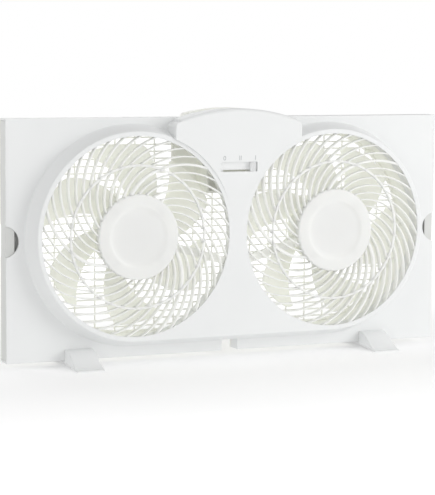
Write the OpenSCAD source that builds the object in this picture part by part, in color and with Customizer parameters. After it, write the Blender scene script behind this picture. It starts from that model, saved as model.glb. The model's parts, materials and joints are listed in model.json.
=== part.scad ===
// Twin window fan: two axial fans side by side in one slim frame, with a
// control crest, sliding side extenders and clip-on feet.
// +X is to the right, +Y points to the back, +Z is up. The origin lies on the
// floor, under the middle of the frame.

/* [Frame] */
// Width of the frame
frame_w = 600; // [580:1:640]
// Height of the frame
frame_h = 300; // [292:1:320]
// Depth of the frame that sits in the window track
frame_t = 24; // [22:1:30]
// Wall of the moulded housings
wall = 2.5; // [2:0.1:3]
// Height of the frame's underside above the floor
ground_gap = 8; // [6:1:14]
// Width of the gap in the lower rail
rail_gap_w = 22; // [14:1:40]
// Height of the gap in the lower rail
rail_gap_h = 15; // [10:1:16]
// Radius of the finger notch in each end
notch_r = 19.5; // [14:0.5:26]
// How far the finger notch reaches into the frame's face
notch_depth = 16.4; // [14:0.2:18]

/* [Drums] */
// Width of the flat face between each drum's fillet and the frame's end
side_land = 22.5; // [20:0.5:30]
// Height of the flat face above the drums' fillets
top_land = 6.5; // [5:0.5:12]
// Height of the flat face below the drums' fillets
low_land = 12.5; // [10:0.5:20]
// Least width of the web between the two front openings
web_w = 24; // [20:1:40]
// How far the drums stand in front of the frame
drum_raise = 24; // [20:1:32]
// Radial width of each drum at its foot, round its opening
bezel_w = 13.5; // [13:0.1:15]
// Rounding of the drum's front edge
edge_round = 2; // [1:0.5:3]
// Radius of the fillet at the foot of each drum
foot_round = 2; // [1.5:0.5:2.5]
// Wall of the air duct
duct_wall = 2.9; // [2:0.1:3]
// How far the rear duct stands behind the frame
rear_raise = 15; // [12:1:24]

/* [Crest] */
// Width of the control crest
crest_w = 175; // [170:1:200]
// Height of the crest above the frame
crest_rise = 11; // [6:1:20]
// Drop of the crest's arch from its middle to its corners
crest_drop = 16; // [12:1:22]
// How far the crest stands in front of the drums
crest_proud = 4; // [2:0.5:8]
// Rounding of the crest's front edge
crest_round = 5; // [2:0.5:6]
// Clearance between each grille opening and the crest's sides
crest_margin = 5; // [3:0.5:8]

/* [Handle] */
// Width of the carrying handle
handle_w = 120; // [100:1:124]
// Thickness of the handle bar, front to back
handle_t = 10; // [8:1:14]
// Height of the handle bar under its arch
handle_h = 15; // [12:1:16]
// Finger room between the crest and the handle bar
handle_gap = 17; // [16:0.5:20]

/* [Grilles] */
// Diameter of the hub disc
hub_d = 107; // [104:1:114]
// Radius of the middle ring
mid_ring_r = 89; // [80:1:98]
// Ribs inside the middle ring, three of them spokes
inner_ribs = 33; // [24:3:39]
// Ribs outside the middle ring, three of them spokes
outer_ribs = 39; // [30:3:45]
// Clock angle at which the first spoke crosses the middle ring
spoke_angle = 20; // [0:1:119]
// Width of a rib
rib_w = 1.9; // [1.4:0.1:2.6]
// Width of the three spokes
spoke_w = 4.2; // [3:0.1:5]
// Depth of the ribs
rib_t = 8; // [7:0.1:8.5]
// Depth of the ribs where a lead arm lies on them
bed_t = 4.7; // [4:0.1:5]
// Sweep of the inner ribs, degrees for each millimetre of radius
inner_sweep = 0.845; // [0.4:0.005:1]
// Sweep of the outer ribs, degrees for each millimetre of radius
outer_sweep = 0.782; // [0.4:0.002:1]
// How far the hub stands in front of the grille's edge
dome = 4.2; // [2:0.2:5]
// Radius of the dish in the hub disc
dish_r = 38; // [28:1:40]
// Angle of the lead arms below the horizontal
arm_angle = 16; // [12:1:22]

/* [Impellers] */
// Gap between the blade tips and the edge of the front opening
tip_gap = 11; // [9:0.5:20]
// Number of blades on each impeller
blade_count = 6; // [4:1:7]
// Blade width round the axis, in degrees
blade_span = 38; // [30:1:42]
// Axial depth of the blades
blade_depth = 27; // [18:1:27]
// Backward sweep of the blades from root to tip, in degrees
blade_sweep = 30; // [0:1:40]
// Thickness of a blade
blade_t = 1.8; // [1.4:0.1:2.4]
// Diameter of the impeller's hub
rotor_hub_d = 88; // [86:1:100]

/* [Guard] */
// Distance between the guard's horizontal bars
bar_pitch = 8.9; // [7:0.1:12]
// Distance between the guard's upright bars
upright_pitch = 27; // [20:0.5:34]
// How far one upright bar stands to the left of the middle
upright_start = 9; // [0:0.5:13]
// Thickness of a guard bar
bar_t = 2; // [1.6:0.1:2.4]
// Width of the closed panel behind the control box
panel_w = 128; // [110:1:150]
// Height of the closed panel
panel_h = 78; // [70:1:90]

/* [Extenders] */
// Travel of each side extender
extender_travel = 26; // [15:1:28]
// Width of the extender's end post
post_w = 11.4; // [9:0.2:12]
// Height of the extender's rails
extender_rail_h = 8; // [7:0.5:10]
// Thickness of the extender's sheet
sheet_t = 4; // [3:0.5:5]
// Width of the extender's sheet, beside the post
sheet_w = 39; // [34:1:42]

/* [Feet] */
// Width of a foot
foot_w = 36; // [24:1:50]
// Distance from the middle of each foot to the frame's end
foot_inset = 93; // [80:1:120]
// Distance from a foot's front toe to its back toe
foot_len = 116; // [100:1:140]
// Height of the foot's sides on the rail
foot_grip = 13.5; // [12:0.5:15]

/* [Motors] */
// Diameter of the stator
stator_d = 76; // [74:1:78]
// Length of the stator stack
stator_l = 16; // [12:1:16]
// Diameter of the rotor
rotor_d = 30.6; // [26:0.2:34]
// Diameter of the shaft
shaft_d = 6; // [5:0.5:7]
// Length of a bearing
bearing_l = 8; // [6:0.5:8]
// Thickness of the motor bells
bell_t = 2; // [1.5:0.1:2.4]
// Radius of the motor's mounting screw circle
ear_r = 44; // [43:0.5:46]

/* [Switch] */
// Length of the control slot
slot_l = 51; // [50:0.5:54]
// Height of the control slot
slot_h = 12; // [10:0.5:13]
// Height of the slot above the fan axes
slot_lift = 84.5; // [80:0.5:96]
// Travel of the knob between its end positions
knob_travel = 37; // [32:1:41]
// Width of the knob
knob_w = 6.5; // [5:0.5:8]

/* [Fits] */
// Gap between pieces that slide or clip
slide_gap = 0.3; // [0.2:0.05:0.4]
// Radial gap of a shaft in its bearing
shaft_gap = 0.03; // [0.02:0.01:0.06]
// Radial gap round a screw or a pressed piece
seat_gap = 0.1; // [0.05:0.01:0.15]

/* [Hidden] */
$fn = 96;
big_fn = 240;
sides = [-1, 1];
cut = 1;

// Plastics and metals
shell_white = [0.93, 0.94, 0.93];
frame_white = [0.91, 0.92, 0.91];
rib_white = [0.94, 0.94, 0.91];
blade_white = [0.90, 0.91, 0.86];
knob_white = [0.95, 0.95, 0.94];
dark_plastic = [0.16, 0.16, 0.17];
zinc = [0.78, 0.79, 0.80];
lamination = [0.38, 0.39, 0.41];
copper = [0.72, 0.42, 0.22];
bronze = [0.66, 0.52, 0.30];
steel = [0.70, 0.71, 0.73];
lead_grey = [0.80, 0.80, 0.78];

// Depth levels, front to back
y_front = -frame_t / 2;
y_back = frame_t / 2;
y_face = y_front - drum_raise;
y_inner = y_front + wall;
y_seam = y_back - wall;
y_crest = y_face - crest_proud;
y_guard = y_back + rear_raise;

// Heights
frame_z = ground_gap;
frame_top = frame_z + frame_h;
frame_mid = frame_z + frame_h / 2;

// The openings are the largest that the lands, the fillets and the web leave room for
border = bezel_w + foot_round;
opening_r = min((frame_h - top_land - low_land) / 2 - border,
    (frame_w / 2 - side_land - border - web_w / 2) / 2);
fan_x = frame_w / 2 - side_land - border - opening_r;
fan_z = frame_mid + (low_land - top_land) / 2;
drum_r = opening_r + bezel_w;
crest_top = frame_top + crest_rise;

// Drums and ducts
lip_t = 2.2;
ring_in = opening_r + 0.5;
ring_out = opening_r + 3;
ring_l = 6;
y_ring = y_face + lip_t + slide_gap;
duct_r = ring_out + slide_gap;
duct_out = duct_r + duct_wall;
edge_r = duct_out + slide_gap;
column_half = 60;
column_top = 30;
column_depth = 18;
window_half = 75;
window_z = fan_z - 80;
window_top = fan_z + duct_r - 2;

// Crest and handle
crest_side_r = opening_r + crest_margin;
crest_half = crest_w / 2;
crest_r = (crest_half * crest_half + crest_drop * crest_drop) / (2 * crest_drop);
crest_cz = crest_top - crest_r;
crest_corner = 7;
crest_low = fan_z + 44;
grip_half = handle_w / 2 - 8;
grip_z = fan_z + duct_out + 0.6;
y_bar = y_front + handle_gap;

// Control slot, switch and knob
slot_z = fan_z + slot_lift;
slot_y = y_face - crest_proud * (slot_z - crest_low) / (crest_top - crest_low);
recess_t = 3;
pad_back = slot_y + recess_t + 1.8;
stem_h = 1.6;
stem_z = slot_z - slot_h / 2 + slide_gap + stem_h / 2;
stem_w = 4;
knob_x = knob_travel / 2;
knob_proud = 3;
switch_y = pad_back + 1.6;
switch_t = 14;
switch_h = slot_h + 6;
switch_w = 56;
switch_wall = 2.2;
switch_ear_x = 20;
switch_ear_z = slot_z + switch_h / 2 + 5.5;
stem_end = switch_y + switch_wall + 5;

// Screws
case_d = 3;
case_hole = case_d / 2 + seat_gap;
case_boss_r = 4;
head_h = 2.2;
case_screw_l = 11;
guard_screw_l = 8;
switch_screw_l = 3.4;
head_r = 2.75;
small_head_r = 2.5;
corner_in_x = 43.5;
corner_in_z = 26.5;
top_screw_x = grip_half + 14;
top_screw_z = frame_top - 9.5;
low_screw_x = 38;
low_screw_z = frame_z + 11.5;
case_points = concat(
    [for (s = sides, v = sides) [s * (fan_x + drum_r - corner_in_x), fan_z + v * (drum_r - corner_in_z)]],
    [for (s = sides) [s * top_screw_x, top_screw_z]],
    [for (s = sides) [s * low_screw_x, low_screw_z]]);

// Rear guard and its panel
guard_t = 3;
rim_w = 3;
guard_out = duct_r - slide_gap;
guard_boss_r = 3.6;
guard_screw_r = guard_out - 2.6;
guard_screw_x = 45;
guard_points = concat(
    [for (s = sides, a = [40, 90, 140])
        [s * (fan_x + guard_screw_r * sin(a)), fan_z + guard_screw_r * cos(a)]],
    [for (s = sides) [s * guard_screw_x, fan_z - guard_screw_r]]);
panel_z = fan_z + duct_r - panel_h;
box_half = panel_w / 4;
gland_r = 5.5;
gland_bore = 3.2;
gland_z = panel_z + 20;

// Extenders
rail_t = 10;
rail_z0 = frame_z + wall + slide_gap;
rail_z1 = frame_top - wall - slide_gap;
rail_room = 10;
stop_in = 32;
rail_end = top_screw_x + case_boss_r + rail_room;
stop_x = rail_end + stop_in;
stop_r = 1.5;
stop_reach = 7;
sheet_clear_r = duct_out + 2.8;

// Feet
foot_arch = ground_gap - slide_gap - 2.8;

// Motor, measured along the fan axis
hub_r = hub_d / 2;
hub_t = 2.2;
dish_t = 2.7;
y_hub = y_face - dome;
y_hub_back = y_hub + hub_t;
y_bell = y_hub + 10.2;
y_stack = y_bell + bell_t + 4;
y_stack_end = y_stack + stator_l;
y_rear_bell = y_stack_end + 8;
bearing_r = shaft_d / 2 + 3;
pocket_r = bearing_r + 0.05;
y_bearing_front = y_bell - 3;
y_bearing_rear = y_rear_bell - 1;
air_gap = 0.4;
end_ring = 0.7;
stator_r = stator_d / 2;
yoke_in = stator_r - 8;
bell_in = stator_r - 2.5;
bolt_r = bell_in - 2.2;
pole_w = 12;
shoe_r = rotor_d / 2 + 3;
shoe_angle = 35;
coil_w = 21;
coil_r0 = rotor_d / 2 + 3.7;
coil_r1 = yoke_in - 2.5;
coil_over = 3.2;
shaft_bore = shaft_d / 2 + 0.05;
ear_pad_r = 5;
ear_post_r = 4;

// Impeller
rotor_hub_r = rotor_hub_d / 2;
y_cup = y_rear_bell + 11;
cup_t = 2.5;
y_blade = y_cup + cup_t + 4.5 - blade_depth;
y_boss = y_bearing_rear + bearing_l + 1.2;
y_boss_end = y_cup + 6;
nut_t = 5;
nut_r = 7;
left_phase = 8.8;
right_phase = -8.5;

// Lead arms and leads
arm_w = 10;
arm_y = y_face + 0.5 + bed_t + seat_gap;
heel_y = y_hub + hub_t / 2 + bed_t + slide_gap + 0.2;
heel_out = hub_r + 4;
arm_floor = arm_y + 2;
arm_start = hub_r - 14;
arm_back = arm_y + 6;
cover_t = 1.4;
lead_w = 4;
lead_t = 2.4;
lead_x = 1.2;
lead_y = arm_floor + slide_gap;
lead_step_r = stator_r + 4;
lead_end_r = (fan_x - lead_x - lead_t / 2) / cos(arm_angle);

// ---------- building blocks ----------

// Extrudes a front view outline (x, z) from depth y0 to depth y1.
module across(y0, y1) {
    translate([0, y1, 0]) rotate([90, 0, 0]) linear_extrude(y1 - y0) children();
}

// Extrudes a side view outline (y, z) from x0 to x1.
module along(x0, x1) {
    translate([x0, 0, 0]) rotate([90, 0, 90]) linear_extrude(x1 - x0) children();
}

// Puts children on a fan axis: their z is the depth, their y points down.
module on_fan(s) {
    translate([s * fan_x, 0, fan_z]) rotate([-90, 0, 0]) children();
}

// A tube on the fan axis between two depths.
module tube(r0, r1, y0, y1) {
    translate([0, 0, y0]) difference() {
        cylinder(r = r1, h = y1 - y0);
        if (r0 > 0) translate([0, 0, -cut]) cylinder(r = r0, h = y1 - y0 + 2 * cut);
    }
}

// A disc or bore that runs front to back through (x, z).
module rod_y(x, z, r, y0, y1) {
    translate([x, y1, z]) rotate([90, 0, 0]) cylinder(r = r, h = y1 - y0, $fn = 32);
}

module box(x0, x1, y0, y1, z0, z1) {
    translate([x0, y0, z0]) cube([x1 - x0, y1 - y0, z1 - z0]);
}

// Centre of the circle through three points.
function circle_centre(a, b, c) =
    let (d = 2 * (a.x * (b.y - c.y) + b.x * (c.y - a.y) + c.x * (a.y - b.y)),
        aa = a * a, bb = b * b, cc = c * c)
    [(aa * (b.y - c.y) + bb * (c.y - a.y) + cc * (a.y - b.y)) / d,
     (aa * (c.x - b.x) + bb * (a.x - c.x) + cc * (b.x - a.x)) / d];

function polar(r, a) = [r * cos(a), r * sin(a)];

// ---------- housings ----------

// Section of a drum: radius against depth, drawn in by inset. Its wall leans in
// from the fillet to the duct that it covers.
function drum_section(inset, back) = concat(
    [[0, back]],
    inset > 0 ? [[drum_r - inset, back]] : concat(
        [[drum_r + foot_round, back]],
        [for (t = [0:15:90])
            [drum_r + foot_round * (1 - sin(t)), y_front - foot_round * (1 - cos(t))]]),
    [for (t = [0:15:90])
        [edge_r - inset - edge_round * (1 - cos(t)), y_face + inset + edge_round * (1 - sin(t))]],
    [[0, y_face + inset]]);

module drums(inset, back) {
    for (s = sides) on_fan(s) rotate_extrude($fn = big_fn) polygon(drum_section(inset, back));
    // the straight lower edge between the drums
    along(-fan_x, fan_x) polygon([for (p = drum_section(inset, back)) [p.y, fan_z - p.x]]);
    // the column between the openings
    box(-column_half, column_half, y_face + inset, back, fan_z - cut, frame_top - column_top);
}

// Front view of the crest, drawn in by inset.
module crest_outline(inset) {
    half = crest_half - inset;
    shoulder = crest_top - crest_drop - crest_corner;
    difference() {
        intersection() {
            translate([0, crest_cz]) circle(r = crest_r - inset, $fn = 720);
            union() {
                translate([-half, crest_low]) square([2 * half, shoulder - crest_low]);
                translate([-half + crest_corner, crest_low])
                    square([2 * (half - crest_corner), crest_top - crest_low]);
                for (s = sides) translate([s * (half - crest_corner), shoulder]) circle(r = crest_corner);
            }
        }
        for (s = sides)
            translate([s * fan_x, fan_z]) circle(r = crest_side_r + inset, $fn = big_fn);
    }
}

// The crest's raised block, with its leaning face and rounded arch.
module crest_block(inset, back) {
    top = crest_r - inset;
    front = y_crest + inset;
    intersection() {
        across(y_crest - cut, back) crest_outline(inset);
        along(-crest_w, crest_w) polygon([
            [back, crest_low - cut], [y_face + inset, crest_low - cut], [y_face + inset, crest_low],
            [front, crest_top], [front, crest_top + cut], [back, crest_top + cut]]);
        translate([0, 0, crest_cz]) rotate([-90, 0, 0]) rotate_extrude($fn = 720)
            polygon(concat([[0, back], [top, back]],
                [for (t = [0:22.5:90])
                    [top - crest_round * (1 - cos(t)), front + crest_round * (1 - sin(t))]],
                [[0, front]]));
    }
}

// The half-round finger notches in both ends of the frame.
module finger_notches(y0, y1) {
    for (s = sides)
        rod_y(s * (frame_w / 2 + notch_r - notch_depth), frame_mid, notch_r, y0, y1);
}

// The gap in the middle of the lower rail, drawn out by grow.
module rail_gap(grow, y0, y1) {
    half = rail_gap_w / 2 + grow;
    box(-half, half, y0, y1, frame_z - cut, frame_z + rail_gap_h + grow);
}

module front_shell() {
    // frame face, with its upper and lower rail
    box(-frame_w / 2, frame_w / 2, y_front, y_inner, frame_z, frame_top);
    box(-frame_w / 2, frame_w / 2, y_front, y_seam, frame_z, frame_z + wall);
    box(-frame_w / 2, frame_w / 2, y_front, y_seam, frame_top - wall, frame_top);
    drums(0, y_inner);
    crest_block(0, y_front + wall / 2);
    // walls of the finger slot behind the crest
    box(-grip_half - wall, grip_half + wall, y_front - wall / 2, y_seam, grip_z, frame_top);
}

module front_hollow() {
    drums(wall, y_inner + cut);
    crest_block(wall, y_front - wall);
    intersection() {
        crest_block(wall, y_inner + cut);
        box(-crest_w, crest_w, y_crest, y_inner + cut, 0, grip_z);
    }
}

// The finger slot between the crest and the handle bar.
module grip_slot() {
    box(-grip_half, grip_half, y_front, y_seam + cut, grip_z + wall, crest_top);
}

// Four snap windows or snap noses on a grille's ring.
module snaps(r0, r1, half, y0, y1) {
    for (a = [45:90:315])
        rotate([0, 0, a]) translate([r0, -half, y0]) cube([r1 - r0, 2 * half, y1 - y0]);
}

// Turns children to the lead arm of one fan.
module at_arm(s) {
    rotate([0, 0, s < 0 ? arm_angle : 180 - arm_angle]) children();
}

module front_housing() color(shell_white) difference() {
    union() {
        difference() {
            front_shell();
            front_hollow();
            grip_slot();
        }
        difference() {
            for (s = sides) on_fan(s) translate([0, 0, y_face + wall])
                cylinder(r = duct_out, h = y_inner - y_face - wall, $fn = big_fn);
            // opening that joins the two fans behind the column
            box(-window_half, window_half, y_face + column_depth, y_inner + cut, window_z, window_top);
        }
        // floor of the control slot, and the posts that carry the switch
        box(-slot_l / 2 - 2, slot_l / 2 + 2, slot_y + 0.6, pad_back,
            slot_z - slot_h / 2 - 2, slot_z + slot_h / 2 + 2);
        for (s = sides) rod_y(s * switch_ear_x, switch_ear_z, 3.5, slot_y + 0.8, switch_y);
        for (p = case_points) rod_y(p.x, p.y, case_boss_r, y_inner - wall / 2, y_seam);
        difference() {
            rail_gap(wall, y_front, y_seam);
            box(-frame_w, frame_w, y_front - cut, y_back, 0, frame_z);
        }
    }
    for (s = sides) on_fan(s) {
        translate([0, 0, y_crest - cut]) cylinder(r = opening_r, h = drum_raise, $fn = big_fn);
        translate([0, 0, y_face + lip_t]) cylinder(r = duct_r, h = drum_raise + wall, $fn = big_fn);
        snaps(duct_r - cut, duct_out + 0.5, 4.5, y_ring + 2, y_ring + 5);
        // the lead passes through the duct wall
        at_arm(s) translate([duct_r - cut, -3, arm_floor]) cube([duct_wall + 3, 6, column_depth]);
    }
    finger_notches(y_front - cut, y_inner + cut);
    rail_gap(0, y_front - cut, y_seam + cut);
    // the control slot and the slit for the knob's stem
    box(-slot_l / 2, slot_l / 2, y_crest - cut, slot_y + recess_t,
        slot_z - slot_h / 2, slot_z + slot_h / 2);
    box(-knob_x - stem_w / 2 - 1, knob_x + stem_w / 2 + 1, slot_y, pad_back + cut,
        stem_z - stem_h / 2 - slide_gap, stem_z + stem_h / 2 + slide_gap);
    for (s = sides) rod_y(s * switch_ear_x, switch_ear_z, case_hole, switch_y - 4, switch_y + cut);
    for (p = case_points) rod_y(p.x, p.y, case_hole, y_seam - 13, y_seam + cut);
    for (s = sides) foot_lug(s, slide_gap);
}

// Racetrack round both fans.
module racetrack(r) {
    for (s = sides) translate([s * fan_x, fan_z]) circle(r = r, $fn = big_fn);
    translate([-fan_x, fan_z - r]) square([2 * fan_x, 2 * r]);
}

// Front view of the handle, from a height up to its arch.
module handle_outline(half, low) {
    corner = 6;
    shoulder = crest_cz + sqrt(pow(crest_r - corner, 2) - pow(half - corner, 2));
    intersection() {
        translate([0, crest_cz]) circle(r = crest_r, $fn = 720);
        translate([-half, low]) square([2 * half, crest_top - low]);
        union() {
            translate([-half, low]) square([2 * half, shoulder - low]);
            translate([-half + corner, low]) square([2 * (half - corner), crest_top - low]);
            for (s = sides) translate([s * (half - corner), shoulder]) circle(r = corner);
        }
    }
}

module handle() difference() {
    union() {
        across(y_bar, y_bar + handle_t) handle_outline(grip_half - slide_gap, crest_top - handle_h);
        across(y_seam, y_bar + handle_t) handle_outline(handle_w / 2, grip_z);
    }
    box(-grip_half, grip_half, y_bar - cut, y_bar + handle_t + cut, grip_z + wall, crest_top - handle_h);
}

// Pins that the extenders' rails stop against.
module stop_pins() {
    for (s = sides, z = [rail_z0 + extender_rail_h / 2, rail_z1 - extender_rail_h / 2])
        rod_y(s * stop_x, z, stop_r, -stop_reach, y_seam + wall / 2);
}

module rear_housing() color(frame_white) difference() {
    union() {
        difference() {
            box(-frame_w / 2, frame_w / 2, y_seam, y_back, frame_z, frame_top);
            box(-grip_half, grip_half, y_seam - cut, y_back + cut, grip_z + wall, frame_top + cut);
        }
        across(y_inner + slide_gap, y_guard) racetrack(duct_out);
        handle();
        stop_pins();
    }
    difference() {
        across(y_inner, y_guard + cut) racetrack(duct_r);
        // the control box and its closed back panel stay
        box(-box_half, box_half, y_inner + slide_gap, y_guard + 2 * cut, panel_z, fan_z + duct_out);
        box(-panel_w / 2, panel_w / 2, y_guard - guard_t, y_guard + 2 * cut, panel_z, fan_z + duct_out);
        for (p = guard_points) rod_y(p.x, p.y, guard_boss_r, y_seam, y_guard - guard_t);
    }
    // hollow of the control box, open to the crest in front
    box(-box_half + wall, box_half - wall, y_inner, y_guard - wall, panel_z + wall, fan_z + duct_r);
    finger_notches(y_seam - cut, y_back + cut);
    rail_gap(0, y_seam - cut, y_back + cut);
    for (p = case_points) rod_y(p.x, p.y, case_hole, y_seam - cut, y_back + cut);
    for (p = guard_points) rod_y(p.x, p.y, case_hole, y_guard - guard_t - 9, y_guard + cut);
    rod_y(0, gland_z, gland_r + seat_gap, y_guard - 2 * wall, y_guard + cut);
}

module guard_bars() {
    reach = fan_x + duct_r;
    rows = ceil(duct_r / bar_pitch);
    for (k = [-rows:rows - 1]) {
        z = fan_z + (k + 0.5) * bar_pitch;
        box(-reach, reach, y_guard - guard_t, y_guard - guard_t + 2.2, z - bar_t / 2, z + bar_t / 2);
    }
    columns = ceil(reach / upright_pitch);
    for (k = [-columns:columns]) {
        x = k * upright_pitch - upright_start;
        box(x - bar_t / 2, x + bar_t / 2, y_guard - guard_t + 1, y_guard, fan_z - duct_r, fan_z + duct_r);
    }
}

module rear_guard() color(rib_white) difference() {
    intersection() {
        union() {
            guard_bars();
            across(y_guard - guard_t, y_guard) difference() {
                racetrack(guard_out + cut);
                racetrack(guard_out - rim_w);
            }
            box(-panel_w / 2 - rim_w, panel_w / 2 + rim_w, y_guard - guard_t, y_guard,
                panel_z - rim_w, fan_z + duct_r);
            for (p = guard_points) rod_y(p.x, p.y, guard_boss_r, y_guard - guard_t, y_guard);
        }
        across(y_guard - guard_t, y_guard) racetrack(guard_out);
    }
    box(-panel_w / 2 - slide_gap, panel_w / 2 + slide_gap, y_guard - guard_t - cut, y_guard + cut,
        panel_z - slide_gap, fan_z + duct_r + cut);
    for (p = guard_points) rod_y(p.x, p.y, case_hole, y_guard - guard_t - cut, y_guard + cut);
}

// Rubber bushing of the cord inlet, in the closed panel.
module cord_gland() color(dark_plastic) difference() {
    union() {
        rod_y(0, gland_z, gland_r, y_guard - wall, y_guard);
        rod_y(0, gland_z, gland_r + 2, y_guard, y_guard + 2);
        rod_y(0, gland_z, gland_r + 1.2, y_guard - wall - 1.6, y_guard - wall);
    }
    rod_y(0, gland_z, gland_bore, y_guard - 2 * wall, y_guard + 2 + cut);
}

// ---------- grilles ----------

// One rib, swept along a circle through three points of its spiral.
// The mid ring is crossed, or met, at angle a; turns is its sweep.
module rib(r0, r1, a, turns, w) {
    p0 = polar(r0, a + turns * (r0 - mid_ring_r));
    pm = polar((r0 + r1) / 2, a + turns * ((r0 + r1) / 2 - mid_ring_r));
    p1 = polar(r1, a + turns * (r1 - mid_ring_r));
    c = circle_centre(p0, pm, p1);
    radius = norm(p0 - c);
    from = atan2(p0.y - c.y, p0.x - c.x);
    swing = atan2(p1.y - c.y, p1.x - c.x) - from;
    turn = swing > 180 ? swing - 360 : swing < -180 ? swing + 360 : swing;
    translate([c.x, c.y, y_hub - cut]) rotate([0, 0, turn > 0 ? from : from + turn])
        rotate_extrude(angle = abs(turn), $fn = big_fn)
            translate([radius - w / 2, 0]) square([w, rib_t + dome + 4 * cut]);
}

module ribs(r0, r1, count, turns, spoke) {
    for (k = [0:count - 1])
        rib(r0, r1, spoke_angle - 90 + k * 360 / count, turns, k % (count / 3) == 0 ? spoke : rib_w);
}

// Section of the domed layer that the ribs lie in: radius against depth.
module rib_layer() {
    y_mid = y_face - 0.7 * dome;
    y_edge = y_face + 0.5;
    y_root = y_hub + hub_t / 2;
    rotate_extrude($fn = big_fn) polygon([
        [hub_r - 3, y_root], [mid_ring_r, y_mid], [opening_r - slide_gap, y_edge],
        [opening_r - slide_gap, y_ring], [ring_in + 1, y_ring],
        [ring_in + 1, y_edge + rib_t], [mid_ring_r, y_mid + rib_t], [hub_r - 3, y_root + rib_t]]);
}

// The hub disc: rounded rim, flat ring and a shallow dish in the middle.
module hub_disc() {
    rim = 2.4;
    floor_y = y_hub + dish_t;
    rotate_extrude($fn = big_fn) polygon(concat(
        [[0, floor_y + hub_t], [0, floor_y], [dish_r * 0.6, floor_y - 0.3], [dish_r - 3, y_hub + 1.6],
         [dish_r - 1, y_hub + 1.2], [dish_r + 0.6, y_hub + 0.3], [dish_r + 2, y_hub]],
        [for (t = [0:22.5:90]) [hub_r - rim * (1 - sin(t)), y_hub + rim * (1 - cos(t))]],
        [[hub_r, y_hub + rib_t + 0.6], [hub_r - 2.2, y_hub + rib_t + 0.6], [hub_r - 2.2, y_hub_back],
         [dish_r + 2, y_hub_back], [dish_r - 3, floor_y + hub_t]]));
}

module front_grille(s) color(rib_white) on_fan(s) difference() {
    union() {
        intersection() {
            union() {
                ribs(hub_r - 1.5, mid_ring_r, inner_ribs, inner_sweep, spoke_w);
                ribs(mid_ring_r, ring_in + 1, outer_ribs, outer_sweep, spoke_w * 0.75);
                tube(mid_ring_r - 1, mid_ring_r + 1, y_hub, y_face + 2 * rib_t);
            }
            rib_layer();
        }
        tube(ring_in, ring_out, y_ring, y_ring + ring_l);
        snaps(ring_out - 1, ring_out + 2, 4, y_ring + 2 + slide_gap, y_ring + 5 - slide_gap);
        hub_disc();
        // posts that carry the motor
        for (a = [45:90:315]) rotate([0, 0, a]) translate([ear_r, 0, y_hub_back - cut])
            cylinder(r = ear_post_r, h = y_bell - y_hub_back + cut, $fn = 32);
    }
    for (a = [45:90:315]) rotate([0, 0, a]) translate([ear_r, 0, y_bell - 7])
        cylinder(r = case_hole, h = 7 + cut, $fn = 32);
    at_arm(s) {
        // notch in the ring for the lead
        translate([ring_in - cut, -3, arm_floor]) cube([ring_out - ring_in + 3 * cut, 6, ring_l]);
        // bed of the lead arm and its heel
        arm_bed(hub_r - 3, ring_in, arm_y - seat_gap);
        arm_bed(hub_r - 3, heel_out + slide_gap, heel_y - slide_gap);
    }
}

// Space that a lead arm takes from the ribs, from radius r0 to r1 behind depth y.
module arm_bed(r0, r1, y) {
    half = arm_w / 2 + slide_gap;
    translate([r0, -half, y]) cube([r1 - r0, 2 * half, drum_raise]);
}

module left_front_grille() front_grille(-1);
module right_front_grille() front_grille(1);

// Channel behind a grille that carries the lead from the motor to the column.
module lead_arm(s) color(rib_white) on_fan(s) at_arm(s) difference() {
    union() {
        translate([arm_start, -arm_w / 2, arm_y])
            cube([ring_in - slide_gap - arm_start, arm_w, arm_back - arm_y]);
        // heel that bears on the ribs beside the hub
        translate([hub_r - 2, -arm_w / 2, heel_y])
            cube([heel_out - hub_r + 2, arm_w, arm_back - heel_y]);
    }
    translate([arm_start - cut, -arm_w / 2 + 1.6, arm_floor])
        cube([ring_out + 2 * cut - arm_start, arm_w - 3.2, arm_back - arm_floor + cut]);
}

module left_lead_arm() lead_arm(-1);
module right_lead_arm() lead_arm(1);

// Cover that closes a lead arm's channel from behind.
module lead_cover(s) color(rib_white) on_fan(s) at_arm(s) {
    translate([hub_r - 3, -arm_w / 2, arm_back]) cube([ring_in - 1 - hub_r + 3, arm_w, cover_t]);
    for (v = sides)
        translate([mid_ring_r, v * (arm_w / 2 - 2.4) - 0.5, arm_back - 2]) cube([20, 1, 2 + cover_t / 2]);
}

module left_lead_cover() lead_cover(-1);
module right_lead_cover() lead_cover(1);

// ---------- extenders and feet ----------

module extender(s) color(frame_white) mirror([s < 0 ? 1 : 0, 0, 0]) difference() {
    union() {
        // end post
        box(frame_w / 2 - post_w, frame_w / 2, y_inner + slide_gap, y_seam - slide_gap, rail_z0, rail_z1);
        // sheet, cut round the duct
        difference() {
            box(frame_w / 2 - post_w - sheet_w, frame_w / 2 - post_w + cut,
                -sheet_t / 2, sheet_t / 2, rail_z0, rail_z1);
            rod_big(fan_x, fan_z, sheet_clear_r, -sheet_t, sheet_t);
        }
        // rails in the upper and lower edge of the frame
        for (z = [rail_z0, rail_z1 - extender_rail_h])
            box(rail_end, frame_w / 2 - post_w + cut, -rail_t / 2, rail_t / 2, z, z + extender_rail_h);
    }
    for (z = [rail_z0 + extender_rail_h / 2, rail_z1 - extender_rail_h / 2]) {
        // slots in which the stop pins run
        rod_y(stop_x, z, stop_r + slide_gap, -rail_t, rail_t);
        rod_y(stop_x - extender_travel, z, stop_r + slide_gap, -rail_t, rail_t);
        box(stop_x - extender_travel, stop_x, -rail_t, rail_t,
            z - stop_r - slide_gap, z + stop_r + slide_gap);
    }
}

module rod_big(x, z, r, y0, y1) {
    translate([x, y1, z]) rotate([90, 0, 0]) cylinder(r = r, h = y1 - y0, $fn = big_fn);
}

module left_extender() extender(-1);
module right_extender() extender(1);

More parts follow.
